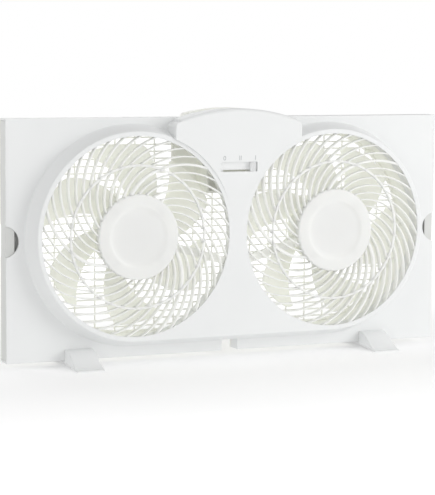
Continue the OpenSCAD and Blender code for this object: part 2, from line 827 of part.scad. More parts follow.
// Lug that locates a foot in the lower rail.
module foot_lug(s, grow) {
    x = s * (frame_w / 2 - foot_inset);
    box(x - 5 - grow, x + 5 + grow, -4 - grow, 4 + grow, frame_z - 2, rail_z0 - 2 * slide_gap + grow);
}

// Side view of half a foot, from the middle out to the toe.
function foot_side() = let (top = frame_z + foot_grip, toe = foot_len / 2)
    [[y_front - 4, top - 0.2], [y_front - 10, top - 1.3], [y_front - 16, top - 3.4],
     [y_front - 21, top - 6.2], [y_front - 25, top - 9.6], [y_front - 29, top - 13.8],
     [y_front - 34, 3.4], [-toe + 5, 1.4], [-toe, 0.9], [-toe, 0], [-toe + 8, 0],
     [-toe + 16, 2], [y_front - 8, ground_gap - slide_gap - 4], [y_front + 4, foot_arch]];

module foot(s) color(frame_white) {
    x = s * (frame_w / 2 - foot_inset);
    half = foot_side();
    difference() {
        along(x - foot_w / 2, x + foot_w / 2) polygon(concat(
            [[y_front - slide_gap, frame_z + foot_grip]], half,
            [for (k = [len(half) - 1:-1:0]) [-half[k].x, half[k].y]],
            [[y_back + slide_gap, frame_z + foot_grip]]));
        box(x - foot_w, x + foot_w, y_front - slide_gap, y_back + slide_gap,
            frame_z - slide_gap, frame_top);
    }
    foot_lug(s, 0);
}

module left_foot() foot(-1);
module right_foot() foot(1);

// ---------- motors ----------

// Stator stamping: ring, four poles with wide shoes, bolt holes.
module stamping() difference() {
    union() {
        difference() {
            circle(r = stator_r);
            circle(r = yoke_in);
        }
        for (a = [0, 90]) rotate(a) square([2 * yoke_in + 2 * cut, pole_w], center = true);
        for (a = [0:90:270]) rotate(a) intersection() {
            circle(r = shoe_r);
            polygon([[0, 0], [shoe_r, -shoe_r * tan(shoe_angle)], [shoe_r, shoe_r * tan(shoe_angle)]]);
        }
    }
    circle(r = rotor_d / 2 + air_gap);
    for (a = [45:90:315]) rotate(a) translate([bolt_r, 0]) circle(r = case_hole, $fn = 32);
}

module stator(s) color(lamination) on_fan(s) translate([0, 0, y_stack])
    linear_extrude(height = stator_l) stamping();

// Puts children on the four through bolts of a motor.
module bolt_ring() {
    for (a = [45:90:315]) rotate([0, 0, a]) translate([bolt_r, 0, 0]) children();
}

module left_stator() stator(-1);
module right_stator() stator(1);

module windings(s) color(copper) on_fan(s) for (a = [0:90:270]) rotate([0, 0, a]) difference() {
    translate([coil_r0, -coil_w / 2, y_stack - coil_over])
        cube([coil_r1 - coil_r0, coil_w, stator_l + 2 * coil_over]);
    translate([coil_r0 - cut, -pole_w / 2 - seat_gap, y_stack - seat_gap])
        cube([coil_r1 - coil_r0 + 2 * cut, pole_w + 2 * seat_gap, stator_l + 2 * seat_gap]);
}

module left_windings() windings(-1);
module right_windings() windings(1);

// Bearing pocket: a cup round the bearing, closed at its outer end.
module pocket(y0, y1) {
    difference() {
        translate([0, 0, y0]) cylinder(r = pocket_r + 2.4, h = y1 - y0);
        translate([0, 0, y0 - cut]) cylinder(r = pocket_r, h = y1 - y0 + 2 * cut);
    }
}

module front_bell(s) color(zinc) on_fan(s) difference() {
    union() {
        tube(pocket_r, stator_r, y_bell, y_bell + bell_t);
        tube(bell_in, stator_r, y_bell + bell_t / 2, y_stack);
        pocket(y_bearing_front - 0.4, y_bearing_front + bearing_l);
        tube(0, pocket_r + 1, y_bearing_front - 1.6, y_bearing_front - 0.4);
        for (a = [45:90:315]) rotate([0, 0, a]) {
            translate([ear_r, 0, y_bell]) cylinder(r = ear_pad_r, h = bell_t, $fn = 32);
            translate([stator_r - 4, -ear_pad_r, y_bell])
                cube([ear_r - stator_r + 4, 2 * ear_pad_r, bell_t]);
        }
    }
    for (a = [45:90:315]) rotate([0, 0, a]) translate([ear_r, 0, y_bell - cut])
        cylinder(r = case_hole, h = bell_t + 2 * cut, $fn = 32);
    bolt_ring() translate([0, 0, y_bell - cut]) cylinder(r = case_hole, h = bell_t + 2 * cut, $fn = 32);
    // notch through which the leads come out
    at_arm(s) translate([bell_in - 1, -3, y_bell + bell_t]) cube([4, 6, stator_l]);
}

module left_front_bell() front_bell(-1);
module right_front_bell() front_bell(1);

module rear_bell(s) color(zinc) on_fan(s) difference() {
    union() {
        tube(pocket_r, stator_r, y_rear_bell, y_rear_bell + bell_t);
        tube(bell_in, stator_r, y_stack_end, y_rear_bell + bell_t / 2);
        pocket(y_bearing_rear, y_bearing_rear + bearing_l);
    }
    bolt_ring() translate([0, 0, y_rear_bell - cut])
        cylinder(r = case_hole, h = bell_t + 2 * cut, $fn = 32);
    for (a = [0:45:315]) rotate([0, 0, a + 22.5]) translate([stator_r * 0.6, 0, y_rear_bell - cut])
        cylinder(r = 3.5, h = bell_t + 2 * cut, $fn = 32);
}

module left_rear_bell() rear_bell(-1);
module right_rear_bell() rear_bell(1);

module bearings(s) color(bronze) on_fan(s)
    for (y = [y_bearing_front, y_bearing_rear]) tube(shaft_d / 2 + shaft_gap, bearing_r, y, y + bearing_l);

module left_bearings() bearings(-1);
module right_bearings() bearings(1);

module rotor(s) color(lamination) on_fan(s) {
    tube(shaft_bore, rotor_d / 2, y_stack, y_stack_end);
    for (y = [y_stack - end_ring, y_stack_end]) tube(shaft_bore, rotor_d / 2 - 2, y, y + end_ring);
}

module left_rotor() rotor(-1);
module right_rotor() rotor(1);

module shaft(s) color(steel) on_fan(s)
    translate([0, 0, y_bearing_front]) cylinder(d = shaft_d, h = y_boss_end + nut_t - y_bearing_front);

module left_shaft() shaft(-1);
module right_shaft() shaft(1);

// ---------- impellers ----------

blade_rows = 7;
blade_cols = 6;
blade_root = rotor_hub_r - 1;
blade_tip = opening_r - tip_gap;

// A point of a blade: u runs from root to tip, v from the leading edge at the
// back to the trailing edge at the front, side is -1 or 1 for its two faces.
function blade_point(u, v, side) =
    let (r = blade_root + (blade_tip - blade_root) * u,
        a = blade_sweep * (0.5 - u) + blade_span * (v - 0.5),
        back = y_cup + cup_t - 1 + 5 * u,
        y = back + (y_blade - back) * v - 2.2 * sin(180 * v) + side * blade_t / 2)
    [r * cos(a), r * sin(a), y];

module blade() {
    rows = blade_rows;
    cols = blade_cols;
    sheet = (rows + 1) * (cols + 1);
    pts = [for (side = sides, i = [0:rows], j = [0:cols]) blade_point(i / rows, j / cols, side)];
    polyhedron(points = pts, faces = concat(
        [for (i = [0:rows - 1], j = [0:cols - 1], h = [0, 1])
            let (a = i * (cols + 1) + j, b = a + 1, c = a + cols + 1, d = c + 1)
            h == 0 ? [a, c, b] : [b, c, d]],
        [for (i = [0:rows - 1], j = [0:cols - 1], h = [0, 1])
            let (a = sheet + i * (cols + 1) + j, b = a + 1, c = a + cols + 1, d = c + 1)
            h == 0 ? [a, b, c] : [b, d, c]],
        [for (j = [0:cols - 1], e = [0, 1], h = [0, 1])
            let (a = e * rows * (cols + 1) + j, b = a + 1, c = a + sheet, d = b + sheet)
            e == 0 ? (h == 0 ? [a, b, c] : [b, d, c]) : (h == 0 ? [a, c, b] : [b, c, d])],
        [for (i = [0:rows - 1], e = [0, 1], h = [0, 1])
            let (a = i * (cols + 1) + e * cols, b = a + cols + 1, c = a + sheet, d = b + sheet)
            e == 0 ? (h == 0 ? [a, c, b] : [b, c, d]) : (h == 0 ? [a, b, c] : [b, d, c])]));
}

module impeller(s, phase) color(blade_white) on_fan(s) difference() {
    union() {
        for (k = [0:blade_count - 1]) rotate([0, 0, phase - 90 + k * 360 / blade_count]) blade();
        tube(rotor_hub_r - cup_t, rotor_hub_r, y_blade - 2, y_cup + cup_t / 2);
        tube(0, rotor_hub_r, y_cup, y_cup + cup_t);
        tube(0, shaft_d / 2 + 5, y_boss, y_boss_end);
    }
    translate([0, 0, y_boss - cut]) cylinder(r = shaft_bore, h = y_boss_end - y_boss + 2 * cut);
}

module left_impeller() impeller(-1, left_phase);
module right_impeller() impeller(1, right_phase);

module shaft_nut(s) color(dark_plastic) on_fan(s) difference() {
    translate([0, 0, y_boss_end]) cylinder(r = nut_r, h = nut_t);
    translate([0, 0, y_boss_end - cut]) cylinder(r = shaft_bore, h = nut_t + 2 * cut);
}

module left_shaft_nut() shaft_nut(-1);
module right_shaft_nut() shaft_nut(1);

// ---------- screws ----------

// A pan-head screw along the depth, with its head behind y_seat.
module screw(y_tip, y_seat, r) {
    translate([0, 0, y_tip]) cylinder(d = case_d, h = y_seat - y_tip + head_h / 2, $fn = 32);
    difference() {
        translate([0, 0, y_seat]) cylinder(r = r, h = head_h, $fn = 32);
        for (a = [0, 90]) rotate([0, 0, a]) translate([-r * 0.6, -0.4, y_seat + head_h * 0.6])
            cube([r * 1.2, 0.8, head_h]);
    }
}

module at_point(p) {
    translate([p.x, 0, p.y]) rotate([-90, 0, 0]) children();
}

module motor_bolts() color(steel) for (s = sides) on_fan(s) bolt_ring() {
    screw(y_bell - 2, y_rear_bell + bell_t, head_r);
    translate([0, 0, y_bell - 2.4]) cylinder(r = 2.9, h = 2.4, $fn = 6);
}

module motor_screws() color(steel) for (s = sides) on_fan(s)
    for (a = [45:90:315]) rotate([0, 0, a]) translate([ear_r, 0, 0])
        screw(y_bell - 6, y_bell + bell_t, head_r);

module housing_screws() color(steel) for (p = case_points) at_point(p)
    screw(y_seam - case_screw_l, y_back, head_r);

module guard_screws() color(steel) for (p = guard_points) at_point(p)
    screw(y_guard - guard_t - guard_screw_l, y_guard, small_head_r);

module switch_screws() color(steel) for (s = sides) at_point([s * switch_ear_x, switch_ear_z])
    screw(switch_y - switch_screw_l, switch_y + switch_wall, small_head_r);

// ---------- switch and leads ----------

module switch_body() color(dark_plastic) difference() {
    union() {
        box(-switch_w / 2, switch_w / 2, switch_y, switch_y + switch_t,
            slot_z - switch_h / 2, slot_z + switch_h / 2);
        box(-switch_w / 2, switch_w / 2, switch_y, switch_y + switch_wall, slot_z, switch_ear_z + 4);
        // terminals
        for (x = [-12, 0, 12])
            box(x - 2, x + 2, switch_y + switch_t - cut, switch_y + switch_t + 3,
                slot_z - 0.5, slot_z + 0.5);
    }
    box(-switch_w / 2 + switch_wall, switch_w / 2 - switch_wall,
        switch_y + switch_wall, switch_y + switch_t - switch_wall,
        slot_z - switch_h / 2 + switch_wall, slot_z + switch_h / 2 - switch_wall);
    box(-knob_x - stem_w / 2 - 1, knob_x + stem_w / 2 + 1, switch_y - cut, switch_y + switch_wall + cut,
        stem_z - stem_h / 2 - slide_gap, stem_z + stem_h / 2 + slide_gap);
    for (s = sides)
        rod_y(s * switch_ear_x, switch_ear_z, case_hole, switch_y - cut, switch_y + switch_wall + cut);
}

module switch_slider() color(frame_white) difference() {
    box(knob_x - 5.5, knob_x + 5.5,
        switch_y + switch_wall + slide_gap, switch_y + switch_t - switch_wall - slide_gap,
        slot_z - switch_h / 2 + switch_wall + slide_gap, slot_z + switch_h / 2 - switch_wall - slide_gap);
    box(knob_x - stem_w / 2 - seat_gap, knob_x + stem_w / 2 + seat_gap, switch_y, stem_end + seat_gap,
        stem_z - stem_h / 2 - seat_gap, stem_z + stem_h / 2 + seat_gap);
}

module switch_knob() color(knob_white) {
    box(knob_x - knob_w / 2, knob_x + knob_w / 2, slot_y - knob_proud, slot_y + recess_t - slide_gap,
        slot_z - slot_h / 2 + slide_gap, slot_z + slot_h / 2 - slide_gap);
    box(knob_x - stem_w / 2, knob_x + stem_w / 2, slot_y + recess_t - slide_gap - cut, stem_end,
        stem_z - stem_h / 2, stem_z + stem_h / 2);
}

// A flat twin lead: out of the motor, along the arm, and up the column.
module leads(s) color(lead_grey) {
    on_fan(s) at_arm(s) {
        translate([coil_r1 + 2, -lead_w / 2, y_stack - lead_t - 0.8])
            cube([lead_step_r - coil_r1, lead_w, lead_t]);
        translate([lead_step_r, -lead_w / 2, lead_y])
            cube([lead_t, lead_w, y_stack - 0.8 - lead_y]);
        translate([lead_step_r, -lead_w / 2, lead_y])
            cube([lead_end_r - lead_step_r, lead_w, lead_t]);
    }
    x = s * (lead_x + lead_t / 2);
    box(x - lead_t / 2, x + lead_t / 2, lead_y, lead_y + lead_w,
        fan_z - lead_end_r * sin(arm_angle) - lead_w / 2, slot_z - switch_h / 2 - slide_gap);
}

module left_leads() leads(-1);
module right_leads() leads(1);

// ---------- assembly ----------

front_housing();
left_front_grille();
right_front_grille();
rear_housing();
rear_guard();
left_extender();
right_extender();
left_foot();
right_foot();
left_stator();
right_stator();
left_windings();
right_windings();
left_front_bell();
right_front_bell();
left_rear_bell();
right_rear_bell();
left_bearings();
right_bearings();
left_rotor();
right_rotor();
left_shaft();
right_shaft();
left_impeller();
right_impeller();
left_shaft_nut();
right_shaft_nut();
left_lead_arm();
right_lead_arm();
left_lead_cover();
right_lead_cover();
left_leads();
right_leads();
motor_bolts();
motor_screws();
housing_screws();
guard_screws();
switch_screws();
switch_body();
switch_slider();
switch_knob();
cord_gland();
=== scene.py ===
"""Twin window fan: the visible pieces, finishes and studio over the fixed frame."""

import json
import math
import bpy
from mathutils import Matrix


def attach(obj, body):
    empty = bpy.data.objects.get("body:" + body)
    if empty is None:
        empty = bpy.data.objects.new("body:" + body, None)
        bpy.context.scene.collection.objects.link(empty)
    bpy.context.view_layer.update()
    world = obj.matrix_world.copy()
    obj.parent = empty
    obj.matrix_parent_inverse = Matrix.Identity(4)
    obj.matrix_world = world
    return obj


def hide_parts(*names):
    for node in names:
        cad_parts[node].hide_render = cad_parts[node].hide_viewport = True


bl_info = {
    "name": "Twin Window Fan",
    "version": (1, 0, 0),
    "blender": (4, 5, 0),
    "location": "View3D > Sidebar > Window Fan",
    "description": "Grilles, impellers, guard, feet, control and finishes of a twin window fan",
    "category": "Object",
}

import bmesh
import bpy
from bpy.types import Operator, Panel, PropertyGroup
from mathutils import Matrix, Vector

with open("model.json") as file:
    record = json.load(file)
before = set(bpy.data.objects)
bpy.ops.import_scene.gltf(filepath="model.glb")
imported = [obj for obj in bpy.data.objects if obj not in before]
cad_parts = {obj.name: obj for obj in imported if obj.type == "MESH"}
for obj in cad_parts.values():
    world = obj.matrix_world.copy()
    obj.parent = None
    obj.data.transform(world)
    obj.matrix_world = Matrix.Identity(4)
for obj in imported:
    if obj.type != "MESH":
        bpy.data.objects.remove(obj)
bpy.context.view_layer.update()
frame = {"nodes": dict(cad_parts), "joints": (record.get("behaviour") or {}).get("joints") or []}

MM = 0.001
MERGE = 1e-4  # millimetres within which two points become one
SIDES = ("left", "right")
FAN_AXIS = {
    side: Vector(joint["pos_m"])
    for side in SIDES for joint in frame["joints"] if joint["name"] == side + "_fan_spin"}


# ---- kinds of setting ----

def length(name, description, millimetres, low=0.0):
    """A size in millimetres."""
    return bpy.props.FloatProperty(
        name=name, description=description, default=millimetres, min=low, max=600.0, precision=2)


def depth_level(name, what, millimetres):
    """A place along the fans' axes in millimetres, negative towards the front."""
    return length(name, "Depth level of " + what, millimetres, -100.0)


def amount(name, description, number, low=0.0, high=1.0):
    """A plain number."""
    return bpy.props.FloatProperty(
        name=name, description=description, default=number, min=low, max=high)


def count_of(name, description, number, low):
    """How many there are of something."""
    return bpy.props.IntProperty(name=name, description=description, default=number, min=low)


def angle_value(name, description, degrees):
    """An angle."""
    return bpy.props.FloatProperty(
        name=name, description=description, subtype="ANGLE", unit="ROTATION",
        default=math.radians(degrees))


def colour_value(name, description, channels):
    """A colour with its channels from 0 to 1."""
    return bpy.props.FloatVectorProperty(
        name=name, description=description, subtype="COLOR", size=3, min=0.0, max=1.0,
        default=channels)


# ---- materials ----

# moulded plastic
FLOW_SCALE, POLISH_SCALE, SPARK_SCALE = 14.0, 60.0, 2600.0  # noises, per metre
FLOW_MARKS = ((0.25, 0.985), (0.75, 1.012))  # noise value, factor on the colour
POLISH_SPREAD = 0.05  # how far the roughness wanders both ways
SPARK_DEPTH = 0.00008  # metres
EDGE_SAMPLES = 4
PLASTIC_GLOSS = {"IOR": 1.47, "Specular IOR Level": 0.35}
GLOW_DEPTH = {"Subsurface Radius": (1.0, 1.0, 0.93), "Subsurface Scale": 0.008}

BLADE_SMOOTHER, INSIDE_ROUGHER, KNOB_WHITER = 0.04, 0.06, 1.03  # next to the housing

# metal
METAL_MARKS = ((0.3, 0.85), (0.7, 1.1))  # noise value, factor on the colour
METAL_SMOOTHER, METAL_ROUGHER = 0.08, 0.12  # how far the roughness wanders


def new_material(name):
    """A material with nodes, its node tree and its principled shader."""
    material = bpy.data.materials.new(name)
    material.use_nodes = True
    tree = material.node_tree
    return material, tree, tree.nodes["Principled BSDF"]


def set_inputs(node, values):
    """Gives a node's unlinked sockets their values, by socket name."""
    for socket, value in values.items():
        node.inputs[socket].default_value = value


def add_node(tree, kind, values=None):
    """A new shader node of a kind, with the values of its sockets."""
    node = tree.nodes.new("ShaderNode" + kind)
    set_inputs(node, values or {})
    return node


def object_noise(tree, scale, detail, roughness=0.55):
    """Noise on the piece's own coordinates."""
    place = add_node(tree, "TexCoord")
    noise = add_node(
        tree, "TexNoise", {"Scale": scale, "Detail": detail, "Roughness": roughness})
    tree.links.new(place.outputs["Object"], noise.inputs["Vector"])
    return noise.outputs["Fac"]


def shaded(colour, factor):
    """A colour made darker or lighter, up to white."""
    return tuple(min(1.0, channel * factor) for channel in colour)


def mottled(tree, noise, colour, marks):
    """The colour, between two (noise value, factor) marks."""
    node = add_node(tree, "ValToRGB")
    for stop, (position, factor) in zip(node.color_ramp.elements, marks):
        stop.position = position
        stop.color = (*shaded(colour, factor), 1.0)
    tree.links.new(noise, node.inputs["Fac"])
    return node.outputs["Color"]


def value_range(tree, noise, low, high):
    """Maps a noise's 0 to 1 to low to high."""
    node = add_node(tree, "MapRange", {"To Min": low, "To Max": high})
    tree.links.new(noise, node.inputs["Value"])
    return node.outputs["Result"]


def moulded_plastic(name, colour, roughness, grain, edge=0.0005, glow=0.0, painted_glow=0.0):
    """Injection-moulded plastic: faint flow marks, fine spark grain and softened edges.

    edge is a radius in metres, glow the share of light let in, the last a painted glow.
    """
    material, tree, shader = new_material(name)
    flow = object_noise(tree, FLOW_SCALE, detail=2.0)
    polish = object_noise(tree, POLISH_SCALE, detail=3.0)
    spark = object_noise(tree, SPARK_SCALE, detail=2.0, roughness=0.7)
    tree.links.new(mottled(tree, flow, colour, FLOW_MARKS), shader.inputs["Base Color"])
    tree.links.new(
        value_range(tree, polish, roughness - POLISH_SPREAD, roughness + POLISH_SPREAD),
        shader.inputs["Roughness"])
    bump = add_node(tree, "Bump", {"Strength": grain, "Distance": SPARK_DEPTH})
    soft_edge = add_node(tree, "Bevel", {"Radius": edge})
    soft_edge.samples = EDGE_SAMPLES
    tree.links.new(spark, bump.inputs["Height"])
    tree.links.new(soft_edge.outputs["Normal"], bump.inputs["Normal"])
    tree.links.new(bump.outputs["Normal"], shader.inputs["Normal"])
    set_inputs(shader, PLASTIC_GLOSS)
    if glow:
        set_inputs(shader, {"Subsurface Weight": glow, **GLOW_DEPTH})
    # painted glow: the plastic gives off light of its own colour, which stands in for light from
    # behind
    if painted_glow:
        set_inputs(shader, {"Emission Color": (*colour, 1.0), "Emission Strength": painted_glow})
    return material


def plated_metal(name, colour, roughness, brush):
    """Plated or rolled metal with fine marks; brush is their scale, per metre."""
    material, tree, shader = new_material(name)
    marks = object_noise(tree, brush, detail=4.0, roughness=0.7)
    tree.links.new(mottled(tree, marks, colour, METAL_MARKS), shader.inputs["Base Color"])
    tree.links.new(
        value_range(tree, marks, roughness - METAL_SMOOTHER, roughness + METAL_ROUGHER),
        shader.inputs["Roughness"])
    set_inputs(shader, {"Metallic": 1.0})
    return material


class FanFinishes(PropertyGroup):
    """Colours and roughness of the plastics."""

    housing_colour: colour_value("Housing colour", "Frame and feet", (0.86, 0.87, 0.868))
    grille_colour: colour_value("Grille colour", "Ribs and hub discs", (0.925, 0.93, 0.9))
    # darker than the housing's white: painted shade for the extenders' end faces
    shaded_side_colour: colour_value("Side colour", "Sliding side extenders", (0.72, 0.73, 0.71))
    impeller_colour: colour_value("Impeller colour", "Milky blades", (0.87, 0.88, 0.80))
    # the plastic's own cream, made lighter than the housing's white as painted light on the shaded
    # inside of the ducts
    inside_colour_with_painted_light: colour_value(
        "Inside colour", "Rear housing, switch body and slider", (0.92, 0.925, 0.87))
    guard_colour: colour_value("Guard colour", "Rear guard, lead arms", (0.9, 0.905, 0.86))
    roughness: amount("Roughness", "Roughness of the moulded surfaces", 0.42, low=0.1)


def make_finishes(finish):
    """One material for each finish of the fan."""
    rough = finish.roughness
    return {
        "housing": moulded_plastic("Housing white", finish.housing_colour, rough, grain=0.25),
        "grille": moulded_plastic(
            "Grille white", finish.grille_colour, rough, grain=0.2, edge=0.0004, glow=0.4),
        # the blades, the rear parts and the bars carry a painted glow, light painted in where the
        # ducts lie in shade
        "impeller": moulded_plastic(
            "Milky blades", finish.impeller_colour, rough - BLADE_SMOOTHER, grain=0.15, edge=0.0004,
            glow=0.7, painted_glow=0.15),
        # rear parts: a lighter colour and a faint emission, both painted light in the shaded ducts
        "inside": moulded_plastic(
            "Rear white", finish.inside_colour_with_painted_light, rough + INSIDE_ROUGHER, grain=0.3, edge=0.0004,
            glow=0.15, painted_glow=0.07),
        # extenders: a darker colour, painted shade on their end faces
        "side": moulded_plastic("Side white", finish.shaded_side_colour, rough, grain=0.25),
        "bars": moulded_plastic(
            "Guard white", finish.guard_colour, rough, grain=0.2, edge=0.0004,
            glow=0.3, painted_glow=0.12),
        "knob": moulded_plastic(
            "Knob white", shaded(finish.housing_colour, KNOB_WHITER), 0.3, grain=0.1,
            edge=0.0003),
        "dark": moulded_plastic(
            "Black plastic", (0.03, 0.03, 0.032), 0.5, grain=0.4, edge=0.0003),
        "print": moulded_plastic("Grey print", (0.5, 0.51, 0.52), 0.6, grain=0.1, edge=0.0001),
        "lead": moulded_plastic(
            "Lead covering", (0.6, 0.6, 0.58), 0.55, grain=0.3, edge=0.0003),
        "steel": plated_metal("Plated steel", (0.62, 0.63, 0.65), 0.32, brush=900.0),
        "lamination": plated_metal(
            "Motor laminations", (0.20, 0.205, 0.215), 0.5, brush=700.0),
        "copper": plated_metal("Enamelled winding", (0.62, 0.25, 0.09), 0.35, brush=1200.0),
        "zinc": plated_metal("Pressed zinc", (0.52, 0.53, 0.54), 0.42, brush=500.0),
        "bronze": plated_metal("Bearing bronze", (0.48, 0.31, 0.13), 0.4, brush=1500.0),
    }


def both(*parts):
    """The nodes that stand for a part on the left and on the right."""
    return [side + "_" + part for part in parts for side in SIDES]


NODE_FINISH = {
    "housing": ["front_housing", *both("foot")],
    "grille": both("front_grille"),
    "impeller": both("impeller"),
    "bars": ["rear_guard", *both("lead_arm", "lead_cover")],
    "inside": ["rear_housing", "switch_slider", "switch_body"],
    "side": both("extender"),
    "knob": ["switch_knob"],
    "dark": ["cord_gland", *both("shaft_nut")],
    "lead": both("leads"),
    "steel": ["motor_bolts", "motor_screws", "housing_screws", "guard_screws", "switch_screws",
              *both("shaft")],
    "lamination": both("stator", "rotor"),
    "copper": both("windings"),
    "zinc": both("front_bell", "rear_bell"),
    "bronze": both("bearings"),
}
FINISH = {}


class FAN_OT_finish_cad(Operator):
    """Give every carried-over solid its finish"""

    bl_idname = "window_fan.finish_cad"
    bl_label = "Finishes"

    def execute(self, context):
        FINISH.update(make_finishes(context.scene.fan_finishes))
        for finish, nodes in NODE_FINISH.items():
            for node in nodes:
                solid = frame["nodes"][node]
                solid.data.materials.clear()
                solid.data.materials.append(FINISH[finish])
        return {"FINISHED"}


# ---- shape helpers ----

def front_view(place):
    """Place of a shape drawn from the front: x to the right, y down, z towards the back."""
    return Matrix.Translation(place) @ Matrix.Rotation(-math.pi / 2, 4, "X")


def make_mesh(shape, name):
    """A mesh from a bmesh, which is freed."""
    mesh = bpy.data.meshes.new(name)
    shape.to_mesh(mesh)
    shape.free()
    return mesh


def add_object(name, data):
    """A new object at the origin of the scene."""
    item = bpy.data.objects.new(name, data)
    bpy.context.scene.collection.objects.link(item)
    return item


def finish_piece(shape, name, body, nodes, finish, sharp=32.0, place=None):
    """Turns a closed bmesh, drawn in millimetres, into a piece that rides on a body.

    Edges sharper than sharp, in degrees, are drawn sharp.
    """
    bmesh.ops.scale(shape, vec=(MM, MM, MM), verts=shape.verts)
    if place:
        bmesh.ops.transform(shape, matrix=place, verts=shape.verts)
    bmesh.ops.recalc_face_normals(shape, faces=shape.faces)
    for face in shape.faces:
        face.smooth = True
    mesh = make_mesh(shape, name)
    mesh.set_sharp_from_angle(angle=math.radians(sharp))
    mesh.materials.append(FINISH[finish])
    piece = add_object(name, mesh)
    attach(piece, body)
    if nodes:
        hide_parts(*nodes)


def join_shape(shape, part):
    """Adds one finished bmesh to another."""
    mesh = make_mesh(part, "part")
    shape.from_mesh(mesh)
    bpy.data.meshes.remove(mesh)


def round_off(part, geom, rounding, segments=3, affect="EDGES", clamp=True):
    """Rounds edges, or the corners of a flat shape."""
    bmesh.ops.bevel(
        part, geom=geom, offset=rounding, offset_type="OFFSET", segments=segments, profile=0.5,
        affect=affect, clamp_overlap=clamp, material=-1)


def swept_arc(shape, width, depth, rounding, radius, start, turn, steps, centre=(0, 0), level=0):
    """A bar with rounded corners along an arc round centre, with its middle at a depth level."""
    part = bmesh.new()
    section = (
        Matrix.Translation((*centre, level)) @ Matrix.Rotation(start, 4, "Z")
        @ Matrix.Translation((radius, 0, 0)) @ Matrix.Rotation(math.pi / 2, 4, "X"))
    flat = bmesh.ops.create_grid(
        part, x_segments=1, y_segments=1, size=0.5,
        matrix=section @ Matrix.Diagonal((width, depth, 1, 1)))
    round_off(part, flat["verts"], rounding, affect="VERTICES", clamp=False)
    whole = math.isclose(abs(turn), math.tau)
    if whole:
        bmesh.ops.delete(part, geom=part.faces[:], context="FACES_ONLY")
    bmesh.ops.spin(
        part, geom=part.verts[:] + part.edges[:] + part.faces[:], cent=(*centre, 0),
        axis=(0, 0, 1), dvec=(0, 0, 0), angle=turn, steps=steps, use_merge=whole,
        use_duplicate=False)
    join_shape(shape, part)


def lathe(shape, outline, steps, closed=False):
    """Turns a chain of (radius, depth) points a full turn about the z axis."""
    part = bmesh.new()
    verts = [part.verts.new((radius, 0.0, depth)) for radius, depth in outline]
    pairs = list(zip(verts, verts[1:])) + ([(verts[-1], verts[0])] if closed else [])
    edges = [part.edges.new(pair) for pair in pairs]
    bmesh.ops.spin(
        part, geom=verts + edges, cent=(0, 0, 0), axis=(0, 0, 1), dvec=(0, 0, 0),
        angle=math.tau, steps=steps, use_merge=True, use_duplicate=False)
    bmesh.ops.remove_doubles(part, verts=part.verts, dist=MERGE)
    join_shape(shape, part)


def rounded_box(shape, low, high, rounding, segments=3, matrix=None):
    """A box between two corners with all its edges rounded."""
    low, high = Vector(low), Vector(high)
    part = bmesh.new()
    place = Matrix.Translation((low + high) / 2) @ Matrix.Diagonal((*(high - low), 1))
    bmesh.ops.create_cube(part, size=1.0, matrix=matrix @ place if matrix else place)
    round_off(part, part.edges[:], rounding, segments)
    join_shape(shape, part)


def rounded_post(shape, radius, low, high, rounding, matrix):
    """A round post between two depth levels, with rounded rims."""
    part = bmesh.new()
    middle = Matrix.Translation((0, 0, (low + high) / 2))
    bmesh.ops.create_cone(
        part, cap_ends=True, cap_tris=False, segments=POST_SIDES, radius1=radius, radius2=radius,
        depth=high - low, matrix=matrix @ middle)
    rims = [edge for edge in part.edges if any(len(face.verts) > 4 for face in edge.link_faces)]
    round_off(part, rims, rounding)
    join_shape(shape, part)


def polar(radius, angle):
    """A point in the plane at a radius and an angle."""
    return Vector((radius * math.cos(angle), radius * math.sin(angle)))


def quarter_turn(step):
    """Angles from 0 to 90 degrees, a step of degrees apart."""
    return [math.radians(degrees) for degrees in range(0, 91, step)]


# ---- front grilles ----

class FanGrille(PropertyGroup):
    """Sizes of a front grille, in millimetres."""

    hub_radius: length("Hub radius", "Radius of the hub disc", 53.5)
    dish_radius: length("Dish radius", "Radius of the dish in the hub disc", 38.0)
    dish_depth: length("Dish depth", "Depth of the dish", 2.7)
    hub_front: depth_level("Hub front", "the hub's face", -40.2)
    hub_wall: length("Hub wall", "Thickness of the hub disc", 2.2)
    ring_radius: length("Ring radius", "Radius of the middle ring", 89.0)
    ring_width: length("Ring width", "Width of the middle ring", 3.0)
    ring_depth: length("Ring depth", "Depth of the middle ring", 3.6)
    rim_inner: length("Rim inner radius", "Inner radius of the outer rim", 125.5)
    rim_outer: length("Rim outer radius", "Outer radius of the outer rim", 128.0)
    rim_front: depth_level("Rim front", "the rim's front", -33.5)
    rim_length: length("Rim length", "Depth of the rim", 6.0)
    edge_front: depth_level("Edge front", "the ribs at the rim", -35.5)
    rib_width: length("Rib width", "Width of a rib", 1.9)
    rib_depth: length("Rib depth", "Depth of a rib", 8.0)
    spoke_width: length("Spoke width", "Width of the three spokes", 4.2)
    inner_ribs: count_of("Inner ribs", "Ribs inside the ring", 33, 3)
    outer_ribs: count_of("Outer ribs", "Ribs outside the ring", 39, 3)
    spoke_angle: angle_value("Spoke angle", "Clock angle of the first spoke at the ring", 20.0)
    inner_sweep: amount("Inner sweep", "Inner rib's degrees per millimetre", 0.845, -3.0, 3.0)
    outer_sweep: amount("Outer sweep", "Outer rib's degrees per millimetre", 0.782, -3.0, 3.0)
    post_radius: length("Post radius", "Radius of the posts that carry the motor", 4.0)
    post_circle: length("Post circle", "Radius of the circle of posts", 44.0)
    post_end: depth_level("Post end", "the posts' ends", -30.0)
    arm_angle: angle_value("Arm angle", "Angle of the lead arm below the horizontal", 16.0)
    bed_half: length("Bed half width", "Half width of the strip where the arm crosses", 8.0)
    bed_level: depth_level("Bed level", "the ribs' back in that strip", -31.0)
    heel_radius: length("Heel radius", "Outer radius of the arm's heel", 60.5)
    heel_level: depth_level("Heel level", "the ribs' back under the heel", -34.7)
    notch_half: length("Notch half width", "Half width of the lead's notch in the rim", 3.0)
    notch_level: depth_level("Notch level", "the notch's start", -28.7)


